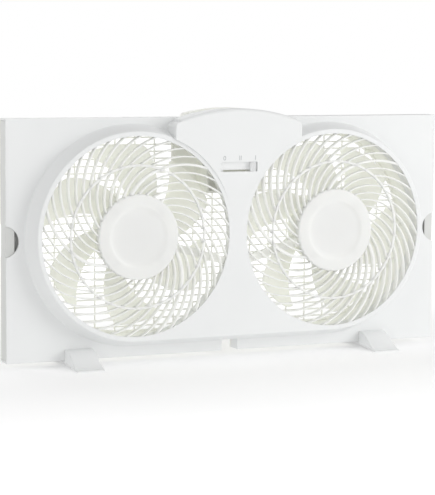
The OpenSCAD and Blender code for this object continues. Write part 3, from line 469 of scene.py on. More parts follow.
SPOKES = 3
RIB_STEPS, RING_STEPS, RIM_STEPS, NOTCH_STEPS, HUB_STEPS = 16, 144, 150, 4, 160
DOME_POWER = 2.6  # how late the ribs fall back towards the rim
RIB_ROUNDING = 0.36  # share of a rib's width
RIB_ROOT, RIB_TIP = 1.5, 0.6  # how far the ribs run into the hub and into the rim
OUTER_SPOKE = 0.75  # width of a spoke outside the ring, as a share of that inside
RING_PROUD, RING_ROUNDING = 0.9, 0.6  # how far the ring stands in front of the ribs
RIM_ROUNDING = 0.5
DISH_FLOOR = ((0.0, 0.0), (0.35, 0.05), (0.62, 0.2), (0.8, 0.45))  # share of radius, rise
DISH_FOOT = (3.6, 0.85)  # inside the dish's radius, above its floor
DISH_EDGE = ((-2.1, 1.35), (-0.9, 0.75), (0.4, 0.3), (2.0, 0.06), (3.6, 0.0))
HUB_EDGE, HUB_EDGE_STEP = 2.4, 15  # radius of the disc's edge, degrees to a step
SKIRT_WALL, SKIRT_CHAMFER, SKIRT_LAP = 2.2, 0.3, 0.6  # lap: deeper than the ribs
DISH_BACK = (2.0, 3.0)  # outside and inside the dish's radius, on the disc's back
POST_ANGLES = (45, 135, 225, 315)
POST_SIDES, POST_SINK, POST_ROUNDING = 32, 0.4, 0.4
NOSE_LOW, NOSE_HIGH = (-1, -4, 2.3), (2, 4, 4.7)  # corners of a snap nose on the rim
NOSE_ROUNDING, NOSE_SEGMENTS = 0.4, 2


def circle_through(a, b, c):
    """Centre of the circle through three points."""
    d = 2 * (a.x * (b.y - c.y) + b.x * (c.y - a.y) + c.x * (a.y - b.y))
    aa, bb, cc = a.length_squared, b.length_squared, c.length_squared
    return Vector((
        (aa * (b.y - c.y) + bb * (c.y - a.y) + cc * (a.y - b.y)) / d,
        (aa * (c.x - b.x) + bb * (a.x - c.x) + cc * (b.x - a.x)) / d))


def dome_level(size, radius):
    """Depth level of the ribs' front edges at a radius."""
    share = (radius - size.hub_radius) / (size.rim_inner - size.hub_radius)
    share = max(0.0, min(1.0, share))
    high = size.hub_front + size.hub_wall / 2
    return high + (size.edge_front - high) * share ** DOME_POWER


def swept_rib(shape, size, inner, outer, angle, sweep, width):
    """One rib along the arc through three points of its spiral, drawn flat at depth 0."""
    sweep = math.radians(sweep)
    points = [
        polar(radius, angle + sweep * (radius - size.ring_radius))
        for radius in (inner, (inner + outer) / 2, outer)]
    centre = circle_through(*points)
    start, stop = (
        math.atan2(point.y - centre.y, point.x - centre.x) for point in (points[0], points[2]))
    turn = (stop - start + math.pi) % math.tau - math.pi
    swept_arc(
        shape, width, size.rib_depth, width * RIB_ROUNDING, (points[0] - centre).length,
        start, turn, RIB_STEPS, centre, size.rib_depth / 2)


def add_ribs(shape, size):
    """The ribs and spokes on both sides of the middle ring, and the ring, on a low dome."""
    first = size.spoke_angle - math.pi / 2
    rings = (
        (size.inner_ribs, size.hub_radius - RIB_ROOT, size.ring_radius, size.inner_sweep, 1.0),
        (size.outer_ribs, size.ring_radius, size.rim_inner + RIB_TIP, size.outer_sweep,
         OUTER_SPOKE))
    for count, inner, outer, sweep, share in rings:
        for k in range(count):
            is_spoke = k % (count // SPOKES) == 0
            width = size.spoke_width * share if is_spoke else size.rib_width
            swept_rib(shape, size, inner, outer, first + k * math.tau / count, sweep, width)
    swept_arc(
        shape, size.ring_width, size.ring_depth, RING_ROUNDING, size.ring_radius,
        0.0, math.tau, RING_STEPS, level=size.ring_depth / 2 - RING_PROUD)
    for vert in shape.verts:
        vert.co.z += dome_level(size, vert.co.xy.length)


def add_rim(shape, size, arm):
    """The outer rim, less deep where the lead passes at the arm's angle."""
    radius = (size.rim_inner + size.rim_outer) / 2
    notch = math.asin(size.notch_half / radius)
    arcs = (
        (size.rim_length, arm + notch, math.tau - 2 * notch, RIM_STEPS),
        (size.notch_level - size.rim_front, arm - notch, 2 * notch, NOTCH_STEPS))
    for depth, start, turn, steps in arcs:
        swept_arc(
            shape, size.rim_outer - size.rim_inner, depth, RIM_ROUNDING, radius,
            start, turn, steps, level=size.rim_front + depth / 2)


def add_hub(shape, size):
    """The hub disc: shallow dish, soft step, flat ring, rounded edge and skirt."""
    hub, dish, front = size.hub_radius, size.dish_radius, size.hub_front
    floor, back = front + size.dish_depth, front + size.hub_wall
    end = front + size.rib_depth + SKIRT_LAP
    skirt = end - SKIRT_CHAMFER
    lathe(shape, [
        *[(dish * share, floor - rise) for share, rise in DISH_FLOOR],
        (dish - DISH_FOOT[0], floor - DISH_FOOT[1]),
        *[(dish + out, front + depth) for out, depth in DISH_EDGE],
        *[(hub - HUB_EDGE * (1 - math.sin(turn)), front + HUB_EDGE * (1 - math.cos(turn)))
          for turn in quarter_turn(HUB_EDGE_STEP)],
        (hub, skirt), (hub - SKIRT_CHAMFER, end), (hub - SKIRT_WALL + SKIRT_CHAMFER, end),
        (hub - SKIRT_WALL, skirt), (hub - SKIRT_WALL, back), (dish + DISH_BACK[0], back),
        (dish - DISH_BACK[1], floor + size.hub_wall), (0, floor + size.hub_wall)], HUB_STEPS)


def cut_arm_bed(shape, size, arm):
    """Makes the ribs and the hub's skirt less deep where the lead arm lies on them."""
    across = Matrix.Rotation(-arm, 2)
    for vert in shape.verts:
        along, beside = across @ vert.co.xy
        if along > 0 and abs(beside) < size.bed_half and vert.co.xy.length < size.rim_inner:
            level = size.heel_level if along < size.heel_radius else size.bed_level
            vert.co.z = min(vert.co.z, level)


def add_posts(shape, size):
    """Four posts for the motor, and four snap noses on the rim."""
    for degrees in POST_ANGLES:
        turned = Matrix.Rotation(math.radians(degrees), 4, "Z")
        rounded_post(
            shape, size.post_radius, size.hub_front + size.hub_wall - POST_SINK, size.post_end,
            POST_ROUNDING, turned @ Matrix.Translation((size.post_circle, 0, 0)))
        rim = Vector((size.rim_outer, 0, size.rim_front))
        rounded_box(
            shape, rim + Vector(NOSE_LOW), rim + Vector(NOSE_HIGH), NOSE_ROUNDING,
            NOSE_SEGMENTS, turned)


def build_grille(side, size):
    """One front grille, drawn about its fan's axis."""
    arm = size.arm_angle if side == "left" else math.pi - size.arm_angle
    shape = bmesh.new()
    add_ribs(shape, size)
    add_rim(shape, size, arm)
    add_hub(shape, size)
    cut_arm_bed(shape, size, arm)
    add_posts(shape, size)
    finish_piece(
        shape, side + "_grille", "frame", [side + "_front_grille"], "grille",
        place=front_view(FAN_AXIS[side]))


class FAN_OT_build_grilles(Operator):
    """Front grilles: swept ribs, rings, hub discs and motor posts"""

    bl_idname = "window_fan.build_grilles"
    bl_label = "Grilles"

    def execute(self, context):
        for side in SIDES:
            build_grille(side, context.scene.fan_grille)
        return {"FINISHED"}


# ---- impellers ----

class FanImpeller(PropertyGroup):
    """Sizes of an impeller, in millimetres."""

    hub_radius: length("Hub radius", "Outer radius of the cup", 44.0)
    tip_radius: length("Tip radius", "Radius at the blade tips", 114.0)
    cup_back: depth_level("Cup level", "the cup's inner face", 11.0)
    cup_wall: length("Cup wall", "Wall of the cup", 2.5)
    blade_front: depth_level("Blade front", "the blades' front edges", -9.0)
    blade_wall: length("Blade wall", "Thickness of a blade", 1.8)
    boss_radius: length("Boss radius", "Radius of the boss on the shaft", 8.0)
    boss_start: depth_level("Boss start", "the boss's front", 8.2)
    boss_end: depth_level("Boss end", "the boss's back", 17.0)
    bore: length("Bore", "Radius of the shaft's hole", 3.05)
    blades: count_of("Blades", "Number of blades", 6, 2)
    sweep: angle_value("Sweep", "Backward sweep from root to tip", 30.0)
    span: angle_value("Span", "Width of a blade round the axis", 38.0)
    left_phase: angle_value("Left phase", "Clock angle of the left fan's first blade", 8.8)
    right_phase: angle_value("Right phase", "Clock angle of the right fan's first blade", -8.5)


BLADE_COLUMNS, BLADE_ROWS = 26, 22
BLADE_ROOT = 1.0  # how far a blade runs into the cup's wall and its back
TIP_CUT, TIP_POWER = 0.07, 9  # how much a tip's corners are cut off, and how sharply
TIP_SETBACK = 5.0  # how much further back the blade's rear edge is at the tip
CAMBER = 2.2
BLADE_EDGE = 0.55  # rounding of a blade's edges
RIM_ANGLE = math.radians(60)
CUP_LIP = 2.0  # how far the cup stands in front of the blades
CUP_CORNER, CUP_CORNER_STEP, CUP_STEPS = 2.2, 18, 128
CHAMFER = 0.4
BOSS_FILLET, WALL_FILLET = 0.6, 1.0  # on the cup's floor
BOSS_ROOT = (1.2, 1.0)  # of the boss behind the cup: outwards, backwards


def add_blade(shape, size, turn):
    """A swept and twisted blade with rounded edges."""
    part = bmesh.new()
    root = size.hub_radius - BLADE_ROOT
    bmesh.ops.create_grid(part, x_segments=BLADE_COLUMNS, y_segments=BLADE_ROWS, size=0.5)
    for vert in part.verts:
        out, round_axis = vert.co.x + 0.5, vert.co.y + 0.5
        cut = TIP_CUT * abs(2 * round_axis - 1) ** TIP_POWER * out
        radius = root + (size.tip_radius - root) * out * (1 - cut)
        angle = size.sweep * (0.5 - out) + size.span * (round_axis - 0.5) + turn
        back = size.cup_back + size.cup_wall - BLADE_ROOT + TIP_SETBACK * out
        camber = CAMBER * math.sin(math.pi * round_axis)
        depth = back + (size.blade_front - back) * round_axis - camber
        vert.co = (*polar(radius, angle), depth - size.blade_wall / 2)
    bmesh.ops.recalc_face_normals(part, faces=part.faces)
    bmesh.ops.solidify(part, geom=part.faces[:], thickness=size.blade_wall)
    rim = [
        edge for edge in part.edges
        if len(edge.link_faces) == 2 and edge.calc_face_angle(0.0) > RIM_ANGLE]
    round_off(part, rim, BLADE_EDGE)
    join_shape(shape, part)


def add_cup(shape, size):
    """The cup that carries the blades, and its boss with the shaft's hole."""
    hub, inside = size.hub_radius, size.hub_radius - size.cup_wall
    boss, floor, back = size.boss_radius, size.cup_back, size.cup_back + size.cup_wall
    lip = size.blade_front - CUP_LIP
    lathe(shape, [
        (size.bore, size.boss_start), (boss - CHAMFER, size.boss_start),
        (boss, size.boss_start + CHAMFER), (boss, floor - BOSS_FILLET),
        (boss + BOSS_FILLET, floor), (inside - WALL_FILLET, floor),
        (inside, floor - WALL_FILLET), (inside, lip + CHAMFER), (inside + CHAMFER, lip),
        (hub - CHAMFER, lip), (hub, lip + CHAMFER),
        *[(hub - CUP_CORNER * (1 - math.cos(turn)), back - CUP_CORNER * (1 - math.sin(turn)))
          for turn in quarter_turn(CUP_CORNER_STEP)],
        (boss + BOSS_ROOT[0], back), (boss, back + BOSS_ROOT[1]),
        (boss, size.boss_end - CHAMFER), (boss - CHAMFER, size.boss_end),
        (size.bore, size.boss_end)], CUP_STEPS, closed=True)


def build_impeller(side, size):
    """One impeller, drawn about its fan's axis."""
    phase = (size.left_phase if side == "left" else size.right_phase) - math.pi / 2
    shape = bmesh.new()
    for k in range(size.blades):
        add_blade(shape, size, phase + k * math.tau / size.blades)
    add_cup(shape, size)
    finish_piece(
        shape, side + "_blades", side + "_fan", [side + "_impeller"], "impeller",
        place=front_view(FAN_AXIS[side]), sharp=50.0)


class FAN_OT_build_impellers(Operator):
    """Impellers: cup, boss and swept blades"""

    bl_idname = "window_fan.build_impellers"
    bl_label = "Impellers"

    def execute(self, context):
        for side in SIDES:
            build_impeller(side, context.scene.fan_impeller)
        return {"FINISHED"}


# ---- rear guard ----

class FanGuard(PropertyGroup):
    """Sizes of the rear guard, in millimetres."""

    fan_height: length("Fan height", "Height of the fan axes", 161.0)
    front: depth_level("Guard front", "the guard's front", 24.0)
    back: depth_level("Guard back", "the guard's back", 27.0)
    radius: length("Radius", "Radius of the guard's ends", 128.0)
    rim_width: length("Rim width", "Width of the guard's rim", 3.0)
    bar: length("Bar", "Thickness of a bar", 2.0)
    bar_pitch: length("Bar pitch", "Distance between the horizontal bars", 8.9)
    upright_pitch: length("Upright pitch", "Distance between the upright bars", 27.0)
    upright_start: length("Upright start", "One upright's distance left of the middle", 9.0)
    panel_half: length("Panel half width", "Half width of the closed panel", 64.0)
    panel_low: length("Panel foot", "Height of the panel's lower edge", 211.3)
    boss_radius: length("Boss radius", "Radius of the screw bosses", 3.6)
    boss_inset: length("Boss inset", "Distance of the bosses from the guard's edge", 2.6)
    boss_bore: length("Boss bore", "Radius of the screw holes", 1.6)
    middle_boss: length("Middle boss", "Distance of two lower bosses from the middle", 45.0)


BAR_ROUNDING, BAR_SEGMENTS = 0.3, 2  # rounding as a share of a bar's thinner side
ROW_DEPTH = 2.2  # depth of the horizontal bars
UPRIGHT_STEP = 1.0  # how far the uprights stand behind the guard's front
GUARD_ROUNDING, GUARD_STEPS = 0.5, 72
PANEL_GAP = 0.3  # between the panel and the rim round it
RIM_LAP = 1.0  # how far the straight rims run into the round ends
BOSS_ANGLES = (40, 90, 140)  # degrees from the top, round each end
BOSS_ROUNDING, BOSS_STEPS = 0.35, 32


def round_bar(shape, start, stop, width, front, back):
    """A bar between two points of the guard's plane, with rounded long edges."""
    start, stop = Vector(start), Vector(stop)
    run = stop - start
    place = (
        Matrix.Translation((*(start + stop) / 2, 0))
        @ Matrix.Rotation(math.atan2(run.y, run.x), 4, "Z"))
    half = run.length / 2
    rounded_box(
        shape, (-half, -width / 2, front), (half, width / 2, back),
        min(width, back - front) * BAR_ROUNDING, BAR_SEGMENTS, place)


def screw_boss(shape, size, x, y):
    """A ring round a screw hole."""
    part = bmesh.new()
    bore, edge = size.boss_bore, size.boss_radius
    lathe(part, [
        (bore, size.front), (edge, size.front), (edge, size.back - BOSS_ROUNDING),
        (edge - BOSS_ROUNDING, size.back), (bore, size.back)], BOSS_STEPS, closed=True)
    bmesh.ops.translate(part, vec=(x, y, 0), verts=part.verts)
    join_shape(shape, part)


def add_bars(shape, size, reach, inner, foot):
    """Rows and uprights inside the rim, which stop at the closed panel above foot."""
    side = size.panel_half + size.rim_width / 2
    rows = math.ceil(inner / size.bar_pitch)
    for k in range(-rows, rows):
        y = (k + 0.5) * size.bar_pitch
        if abs(y) > inner - size.bar:
            continue
        end = reach + math.sqrt(inner ** 2 - y ** 2)
        spans = [(-end, -side), (side, end)] if y < foot else [(-end, end)]
        for left, right in spans:
            round_bar(
                shape, (left, y), (right, y), size.bar, size.front, size.front + ROW_DEPTH)
    columns = math.ceil((reach + inner) / size.upright_pitch)
    for k in range(-columns, columns + 1):
        x = k * size.upright_pitch - size.upright_start
        over = max(0.0, abs(x) - reach)
        if over > inner - 2 * size.bar:
            continue
        end = math.sqrt(inner ** 2 - over ** 2)
        top = foot if abs(x) < size.panel_half + size.rim_width else -end
        round_bar(shape, (x, top), (x, end), size.bar, size.front + UPRIGHT_STEP, size.back)


def add_guard_rims(shape, size, reach, inner, foot):
    """The racetrack rim, and the rim round the closed panel."""
    def straight(start, stop):
        round_bar(shape, start, stop, size.rim_width, size.front, size.back)

    side = size.panel_half + size.rim_width / 2 + PANEL_GAP
    for sign in (-1, 1):
        swept_arc(
            shape, size.rim_width, size.back - size.front, GUARD_ROUNDING, inner,
            sign * math.pi / 2, -math.pi, GUARD_STEPS, (sign * reach, 0),
            (size.front + size.back) / 2)
        straight((sign * side, -inner), (sign * side, foot + size.rim_width))
        straight((sign * side, -inner), (sign * (reach + RIM_LAP), -inner))
    straight((-reach - RIM_LAP, inner), (reach + RIM_LAP, inner))
    level = foot + size.rim_width / 2 + PANEL_GAP
    corner = size.panel_half + size.rim_width
    straight((-corner, level), (corner, level))


def build_guard(size, reach):
    """The guard, drawn with y downwards from the fan axes, each reach from the middle."""
    shape = bmesh.new()
    inner = size.radius - size.rim_width / 2
    foot = size.fan_height - size.panel_low
    add_bars(shape, size, reach, inner, foot)
    add_guard_rims(shape, size, reach, inner, foot)
    circle = size.radius - size.boss_inset
    for sign in (-1, 1):
        for turn in map(math.radians, BOSS_ANGLES):
            x, y = reach + circle * math.sin(turn), -circle * math.cos(turn)
            screw_boss(shape, size, sign * x, y)
        screw_boss(shape, size, sign * size.middle_boss, circle)
    finish_piece(
        shape, "guard", "frame", ["rear_guard"], "bars",
        place=front_view((0, 0, size.fan_height * MM)))


class FAN_OT_build_guard(Operator):
    """Rear guard: rounded bars, rims and screw bosses"""

    bl_idname = "window_fan.build_guard"
    bl_label = "Rear guard"

    def execute(self, context):
        build_guard(context.scene.fan_guard, FAN_AXIS["right"].x / MM)
        return {"FINISHED"}


# ---- feet ----

class FanFeet(PropertyGroup):
    """Sizes of the clip-on feet, in millimetres."""

    place: length("Place", "Distance of a foot's middle from the fan's middle", 207.0)
    width: length("Width", "Width of a foot", 36.0)
    toe: length("Toe", "Distance from the middle to the toe", 58.0)
    toe_height: length("Toe height", "Height of the toe", 1.5)
    grip: length("Grip", "Half the room for the rail", 12.3)
    grip_top: length("Grip top", "Height of the foot's sides on the rail", 21.5)
    grip_floor: length("Grip floor", "Height of the rail's seat", 7.7)
    arch: length("Arch", "Height of the arch under the foot", 4.9)
    rounding: length("Rounding", "Rounding of the foot's upper edges", 1.8)
    lug: length("Lug", "Half length of the lug in the rail", 5.0)
    lug_half: length("Lug half width", "Half width of the lug", 4.0)
    lug_top: length("Lug top", "Height of the lug", 10.2)


CHEEK = 1.2  # thickness of the foot's sides at their top
SLOPE_STEPS, SLOPE_POWER = 14, 1.15
TOE_PAD = 8.0  # length of the flat under the toe
ARCH_START = (16.0, 2.0)  # inside the toe, above the floor
ARCH_BEND = (8.0, 1.2)  # outside the grip, below the arch's top
ARCH_TOP = 4.0  # inside the grip
SOFT_FROM = (3.0, 0.5)  # edges are rounded this far above the toe and outside the grip
LUG_SINK, LUG_ROUNDING = 2.0, 0.6
SOFT_SEGMENTS = 4


def foot_outline(size):
    """The foot seen from the side: a slot for the rail, slopes to both toes, a low arch."""
    top, fall = size.grip + CHEEK, size.grip_top - size.toe_height
    slope = []
    for share in (step / SLOPE_STEPS for step in range(SLOPE_STEPS + 1)):
        rise = 0.5 + 0.5 * math.cos(math.pi * share ** SLOPE_POWER)
        slope.append((
            top + (size.toe - size.grip - CHEEK) * share, size.toe_height + fall * rise))
    half = [
        *slope, (size.toe, 0.0), (size.toe - TOE_PAD, 0.0),
        (size.toe - ARCH_START[0], ARCH_START[1]),
        (size.grip + ARCH_BEND[0], size.arch - ARCH_BEND[1]), (size.grip - ARCH_TOP, size.arch)]
    return [
        *[(-y, z) for y, z in half], *reversed(half),
        (size.grip, size.grip_top), (size.grip, size.grip_floor),
        (-size.grip, size.grip_floor), (-size.grip, size.grip_top)]


def build_foot(side, size):
    """One foot: its outline drawn out to its width, softened on top, with its lug."""
    middle = -size.place if side == "left" else size.place
    left = middle - size.width / 2
    shape = bmesh.new()
    cheek = shape.faces.new([shape.verts.new((left, y, z)) for y, z in foot_outline(size)])
    grown = bmesh.ops.extrude_face_region(shape, geom=[cheek])
    bmesh.ops.translate(
        shape, vec=(size.width, 0, 0),
        verts=[item for item in grown["geom"] if isinstance(item, bmesh.types.BMVert)])
    low, out = size.toe_height + SOFT_FROM[0], size.grip + SOFT_FROM[1]
    soft = [
        edge for edge in shape.edges
        if abs(edge.verts[0].co.x - edge.verts[1].co.x) < MERGE
        and all(vert.co.z > low and abs(vert.co.y) > out for vert in edge.verts)]
    round_off(shape, soft, size.rounding, SOFT_SEGMENTS, clamp=False)
    rounded_box(
        shape, (middle - size.lug, -size.lug_half, size.grip_floor - LUG_SINK),
        (middle + size.lug, size.lug_half, size.lug_top), LUG_ROUNDING)
    finish_piece(
        shape, side + "_clip_foot", side + "_stand", [side + "_foot"], "housing",
        sharp=35.0)


class FAN_OT_build_feet(Operator):
    """Clip-on feet with softened edges"""

    bl_idname = "window_fan.build_feet"
    bl_label = "Feet"

    def execute(self, context):
        for side in SIDES:
            build_foot(side, context.scene.fan_feet)
        return {"FINISHED"}


# ---- control ----

class FanControl(PropertyGroup):
    """Sizes of the knob and its figures, in millimetres."""

    place: length("Place", "Distance of the resting knob from the middle", 18.5)
    height: length("Height", "Height of the slot's middle", 245.5)
    front: depth_level("Front", "the knob's front", -40.42)
    back: depth_level("Back", "the knob's back", -34.72)
    knob_half: length("Half width", "Half width of the knob", 3.25)
    knob_reach: length("Half height", "Half height of the knob", 5.7)
    stem_half: length("Stem half width", "Half width of the stem", 2.0)
    stem_end: depth_level("Stem end", "the stem's end", -23.6)
    stem_drop: length("Stem drop", "How far the stem's middle lies below the slot's", 4.9)
    stem_rise: length("Stem half height", "Half height of the stem", 0.8)
    figure_height: length("Figure height", "Height of the printed figures", 6.0)
    figure_level: length("Figure level", "Height of the middle of the figures", 256.5)
    figure_front: depth_level("Figure front", "the face under the figures", -37.82)
    figure_lean: angle_value(
        "Figure lean", "How far the face leans forward", math.degrees(math.atan(4 / 114)))


KNOB_ROUNDING = 0.5
RIDGES, RIDGE_ROUNDING = 4, 0.4
RIDGE_HEIGHT, RIDGE_FOOT = 0.8, 1.4  # above the knob's body, and down into it
RIDGE_GAP = 0.15  # half the groove between two ridges
RIDGE_INSET = (0.5, 0.6)  # of the ridges from the knob's sides and ends
STEM_SINK, STEM_ROUNDING, STEM_SEGMENTS = 0.6, 0.15, 2
FIGURES = (("0", -20.6), ("II", 1.2), ("I", 22.4))  # distance from the middle
FIGURE_SCALE = 1.38  # size of the lettering for a figure's height of 1
FIGURE_CURVE = 6  # steps to a curve of the lettering
FIGURE_HALF, FIGURE_PROUD = 0.06, 0.02  # half the print's thickness, its middle's place


def build_knob(size):
    """Slide knob with four grip ridges, and its stem."""
    shape = bmesh.new()
    x, z, half, reach = size.place, size.height, size.knob_half, size.knob_reach
    rounded_box(
        shape, (x - half, size.front + RIDGE_HEIGHT, z - reach),
        (x + half, size.back, z + reach), KNOB_ROUNDING)
    beside, ends = RIDGE_INSET
    pitch = 2 * (half - beside) / RIDGES
    for k in range(RIDGES):
        left = x - half + beside + k * pitch
        rounded_box(
            shape, (left + RIDGE_GAP, size.front, z - reach + ends),
            (left + pitch - RIDGE_GAP, size.front + RIDGE_FOOT, z + reach - ends),
            RIDGE_ROUNDING)
    stem = z - size.stem_drop
    rounded_box(
        shape, (x - size.stem_half, size.back - STEM_SINK, stem - size.stem_rise),
        (x + size.stem_half, size.stem_end, stem + size.stem_rise), STEM_ROUNDING,
        STEM_SEGMENTS)
    finish_piece(shape, "knob", "control", ["switch_knob"], "knob")


def build_figure(text, x, size):
    """One plain printed figure on the face over the slot."""
    letters = bpy.data.curves.new("figure_" + text, "FONT")
    letters.body = text
    letters.size = size.figure_height * FIGURE_SCALE * MM
    letters.extrude = FIGURE_HALF * MM
    letters.align_x = "CENTER"
    letters.align_y = "CENTER"
    letters.resolution_u = FIGURE_CURVE
    drawn = add_object("drawn", letters)
    bpy.context.view_layer.update()
    mesh = bpy.data.meshes.new_from_object(drawn)
    bpy.data.objects.remove(drawn)
    bpy.data.curves.remove(letters)
    shape = bmesh.new()
    shape.from_mesh(mesh)
    bpy.data.meshes.remove(mesh)
    bmesh.ops.remove_doubles(shape, verts=shape.verts, dist=MERGE * MM)
    bmesh.ops.scale(shape, vec=(1 / MM, 1 / MM, 1 / MM), verts=shape.verts)
    face = (x * MM, (size.figure_front - FIGURE_PROUD) * MM, size.figure_level * MM)
    upright = Matrix.Rotation(math.pi / 2 + size.figure_lean, 4, "X")
    finish_piece(
        shape, "figure_" + text, "frame", [], "print",
        place=Matrix.Translation(face) @ upright)


class FAN_OT_build_control(Operator):
    """Slide knob and the plain figures over its slot"""

    bl_idname = "window_fan.build_control"
    bl_label = "Control"

    def execute(self, context):
        size = context.scene.fan_control
        build_knob(size)
        for text, x in FIGURES:
            build_figure(text, x, size)
        return {"FINISHED"}


# ---- stage ----

class FanStage(PropertyGroup):
    """Camera, lights and floor."""

    camera_place: bpy.props.FloatVectorProperty(
        name="Camera place", description="Where the camera stands, in the fan's frame",
        subtype="TRANSLATION", unit="LENGTH", size=3, default=(-1.00442, -2.18343, 0.39317))
    camera_turn: bpy.props.FloatVectorProperty(
        name="Camera turn", description="Yaw to the right, pitch down and roll of the camera",
        subtype="EULER", unit="ROTATION", size=3,
        default=(math.radians(24.43), math.radians(6.03), math.radians(0.397)))
    focal_pixels: amount("Focal length", "In pixels of the photograph", 1878.0, 100.0, 10000.0)
    frame_height: count_of("Frame height", "Height of the photograph in pixels", 495, 1)
    world_light: amount("World light", "Strength of the even studio light", 0.49, high=4.0)
    left_light: amount("Left light", "Watts of the lamp at the left", 12.0, high=500.0)
    top_light: amount("Top light", "Watts of the lamp over the fan", 4.0, high=500.0)
    right_light: amount("Right light", "Watts of the lamp at the right", 27.0, high=500.0)
    back_light: amount("Back light", "Watts of the lamp behind the fan", 11.0, high=500.0)
    floor_glow: amount("Floor glow", "Light that the white floor gives off", 0.2)
    # less white near the fan than further off: painted shade on the floor along the fan
    floor_near: amount("Floor near", "White seen added to the floor by the fan", 0.2, high=2.0)
    floor_far: amount("Floor far", "White seen added further off", 0.75, high=2.0)


WHITE = (1.0, 1.0, 1.0, 1.0)
FLOOR_HALF = 6.0  # half the floor's side in metres
FLOOR_PAINT = {
    "Base Color": (0.9, 0.9, 0.9, 1.0), "Roughness": 0.9, "Specular IOR Level": 0.0,
    "Emission Color": WHITE}
FADE_START, FADE_END = 0.15, 1.1  # metres in front of or behind the fan's middle, over which the floor's painted shade near the fan fades out
LAMPS = {  # place and diameter in metres
    "left": ((-2.4, -1.6, 0.9), 2.2),
    "top": ((-0.3, -0.5, 2.3), 1.6),
    "right": ((1.9, -1.7, 0.9), 1.8),
    "back": ((-0.2, 1.6, 0.75), 2.0),
}
LAMP_AIM = Vector((0.0, 0.0, 0.16))
SENSOR = 36.0  # millimetres


def floor_material(glow, near, far):
    """White floor: matt, keeps its shadows, and shows the camera more white further off; the lower
    white near the fan is painted shade along the fan.
    """
    material, tree, shader = new_material("Studio white")
    set_inputs(shader, FLOOR_PAINT)
    place = add_node(tree, "TexCoord")
    split = add_node(tree, "SeparateXYZ")
    tree.links.new(place.outputs["Object"], split.inputs["Vector"])
    away = add_node(tree, "Math")
    away.operation = "ABSOLUTE"
    tree.links.new(split.outputs["Y"], away.inputs[0])
    fade = add_node(tree, "MapRange", {
        "From Min": FADE_START, "From Max": FADE_END, "To Min": near, "To Max": far})
    tree.links.new(away.outputs["Value"], fade.inputs["Value"])
    seen = add_node(tree, "LightPath")
    choose = add_node(tree, "Mix", {"A": glow})
    tree.links.new(seen.outputs["Is Camera Ray"], choose.inputs["Factor"])
    tree.links.new(fade.outputs["Result"], choose.inputs["B"])
    tree.links.new(choose.outputs["Result"], shader.inputs["Emission Strength"])
    return material


def build_floor(stage):
    """A wide flat sheet under the fan."""
    shape = bmesh.new()
    bmesh.ops.create_grid(shape, x_segments=1, y_segments=1, size=FLOOR_HALF)
    sheet = make_mesh(shape, "floor")
    sheet.materials.append(floor_material(stage.floor_glow, stage.floor_near, stage.floor_far))
    floor = add_object("floor", sheet)


def build_world(scene, strength):
    """Even white light, which the camera sees as plain white."""
    world = bpy.data.worlds.new("Studio")
    world.use_nodes = True
    scene.world = world
    tree = world.node_tree
    light = tree.nodes["Background"]
    set_inputs(light, {"Color": WHITE, "Strength": strength})
    white = add_node(tree, "Background", {"Color": WHITE})
    seen = add_node(tree, "LightPath")
    choose = add_node(tree, "MixShader")
    tree.links.new(seen.outputs["Is Camera Ray"], choose.inputs["Fac"])
    tree.links.new(light.outputs["Background"], choose.inputs[1])
    tree.links.new(white.outputs["Background"], choose.inputs[2])
    tree.links.new(choose.outputs["Shader"], tree.nodes["World Output"].inputs["Surface"])


def add_lamp(name, place, size, power):
    """A large round lamp aimed at the fan, which the camera doesn't see."""
    lamp = bpy.data.lights.new(name, "AREA")
    lamp.shape = "DISK"
    lamp.size = size
    lamp.energy = power
    holder = add_object(name, lamp)
    holder.location = place
    holder.rotation_euler = (LAMP_AIM - holder.location).to_track_quat("-Z", "Y").to_euler()
    holder.visible_camera = False


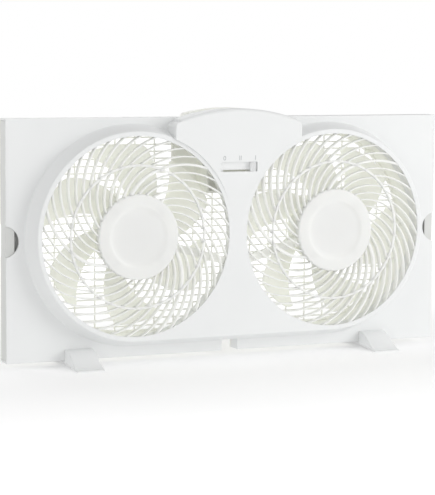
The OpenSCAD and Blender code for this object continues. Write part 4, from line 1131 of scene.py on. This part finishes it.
def build_camera(scene, stage):
    """The camera at the photograph's place, turn and focal length."""
    lens = bpy.data.cameras.new("camera")
    lens.sensor_width = SENSOR
    lens.lens = stage.focal_pixels / stage.frame_height * SENSOR
    yaw, pitch, roll = stage.camera_turn
    scene.camera = add_object("camera", lens)
    scene.camera.matrix_world = (
        Matrix.Translation(stage.camera_place)
        @ Matrix.Rotation(-yaw, 4, "Z")
        @ Matrix.Rotation(math.pi / 2 - pitch, 4, "X")
        @ Matrix.Rotation(roll, 4, "Z"))


class FAN_OT_build_stage(Operator):
    """Floor, lights and camera"""

    bl_idname = "window_fan.build_stage"
    bl_label = "Stage"

    def execute(self, context):
        stage = context.scene.fan_stage
        build_floor(stage)
        build_world(context.scene, stage.world_light)
        for name, (place, size) in LAMPS.items():
            add_lamp(name, place, size, getattr(stage, name + "_light"))
        build_camera(context.scene, stage)
        context.scene.view_settings.view_transform = "Standard"
        return {"FINISHED"}


# ---- add-on ----

class FAN_PT_panel(Panel):
    """Lists the fan's pieces"""

    bl_label = "Window Fan"
    bl_idname = "FAN_PT_panel"
    bl_space_type = "VIEW_3D"
    bl_region_type = "UI"
    bl_category = "Window Fan"

    def draw(self, context):
        for operator in OPERATORS:
            self.layout.operator(operator.bl_idname)


OPERATORS = (
    FAN_OT_build_stage, FAN_OT_finish_cad, FAN_OT_build_grilles, FAN_OT_build_impellers,
    FAN_OT_build_guard, FAN_OT_build_feet, FAN_OT_build_control)
SETTINGS = {
    "fan_finishes": FanFinishes,
    "fan_stage": FanStage,
    "fan_grille": FanGrille,
    "fan_impeller": FanImpeller,
    "fan_guard": FanGuard,
    "fan_feet": FanFeet,
    "fan_control": FanControl,
}
CLASSES = (*SETTINGS.values(), *OPERATORS, FAN_PT_panel)


def register():
    """Registers the classes and gives the scene its settings."""
    for item in CLASSES:
        bpy.utils.register_class(item)
    for name, group in SETTINGS.items():
        setattr(bpy.types.Scene, name, bpy.props.PointerProperty(type=group))


def unregister():
    """Takes away what register made."""
    for name in SETTINGS:
        delattr(bpy.types.Scene, name)
    for item in reversed(CLASSES):
        bpy.utils.unregister_class(item)


def main():
    """Builds the stage and every piece."""
    register()
    bpy.ops.window_fan.build_stage()
    bpy.ops.window_fan.finish_cad()
    bpy.ops.window_fan.build_grilles()
    bpy.ops.window_fan.build_impellers()
    bpy.ops.window_fan.build_guard()
    bpy.ops.window_fan.build_feet()
    bpy.ops.window_fan.build_control()


if __name__ == "__main__":
    main()
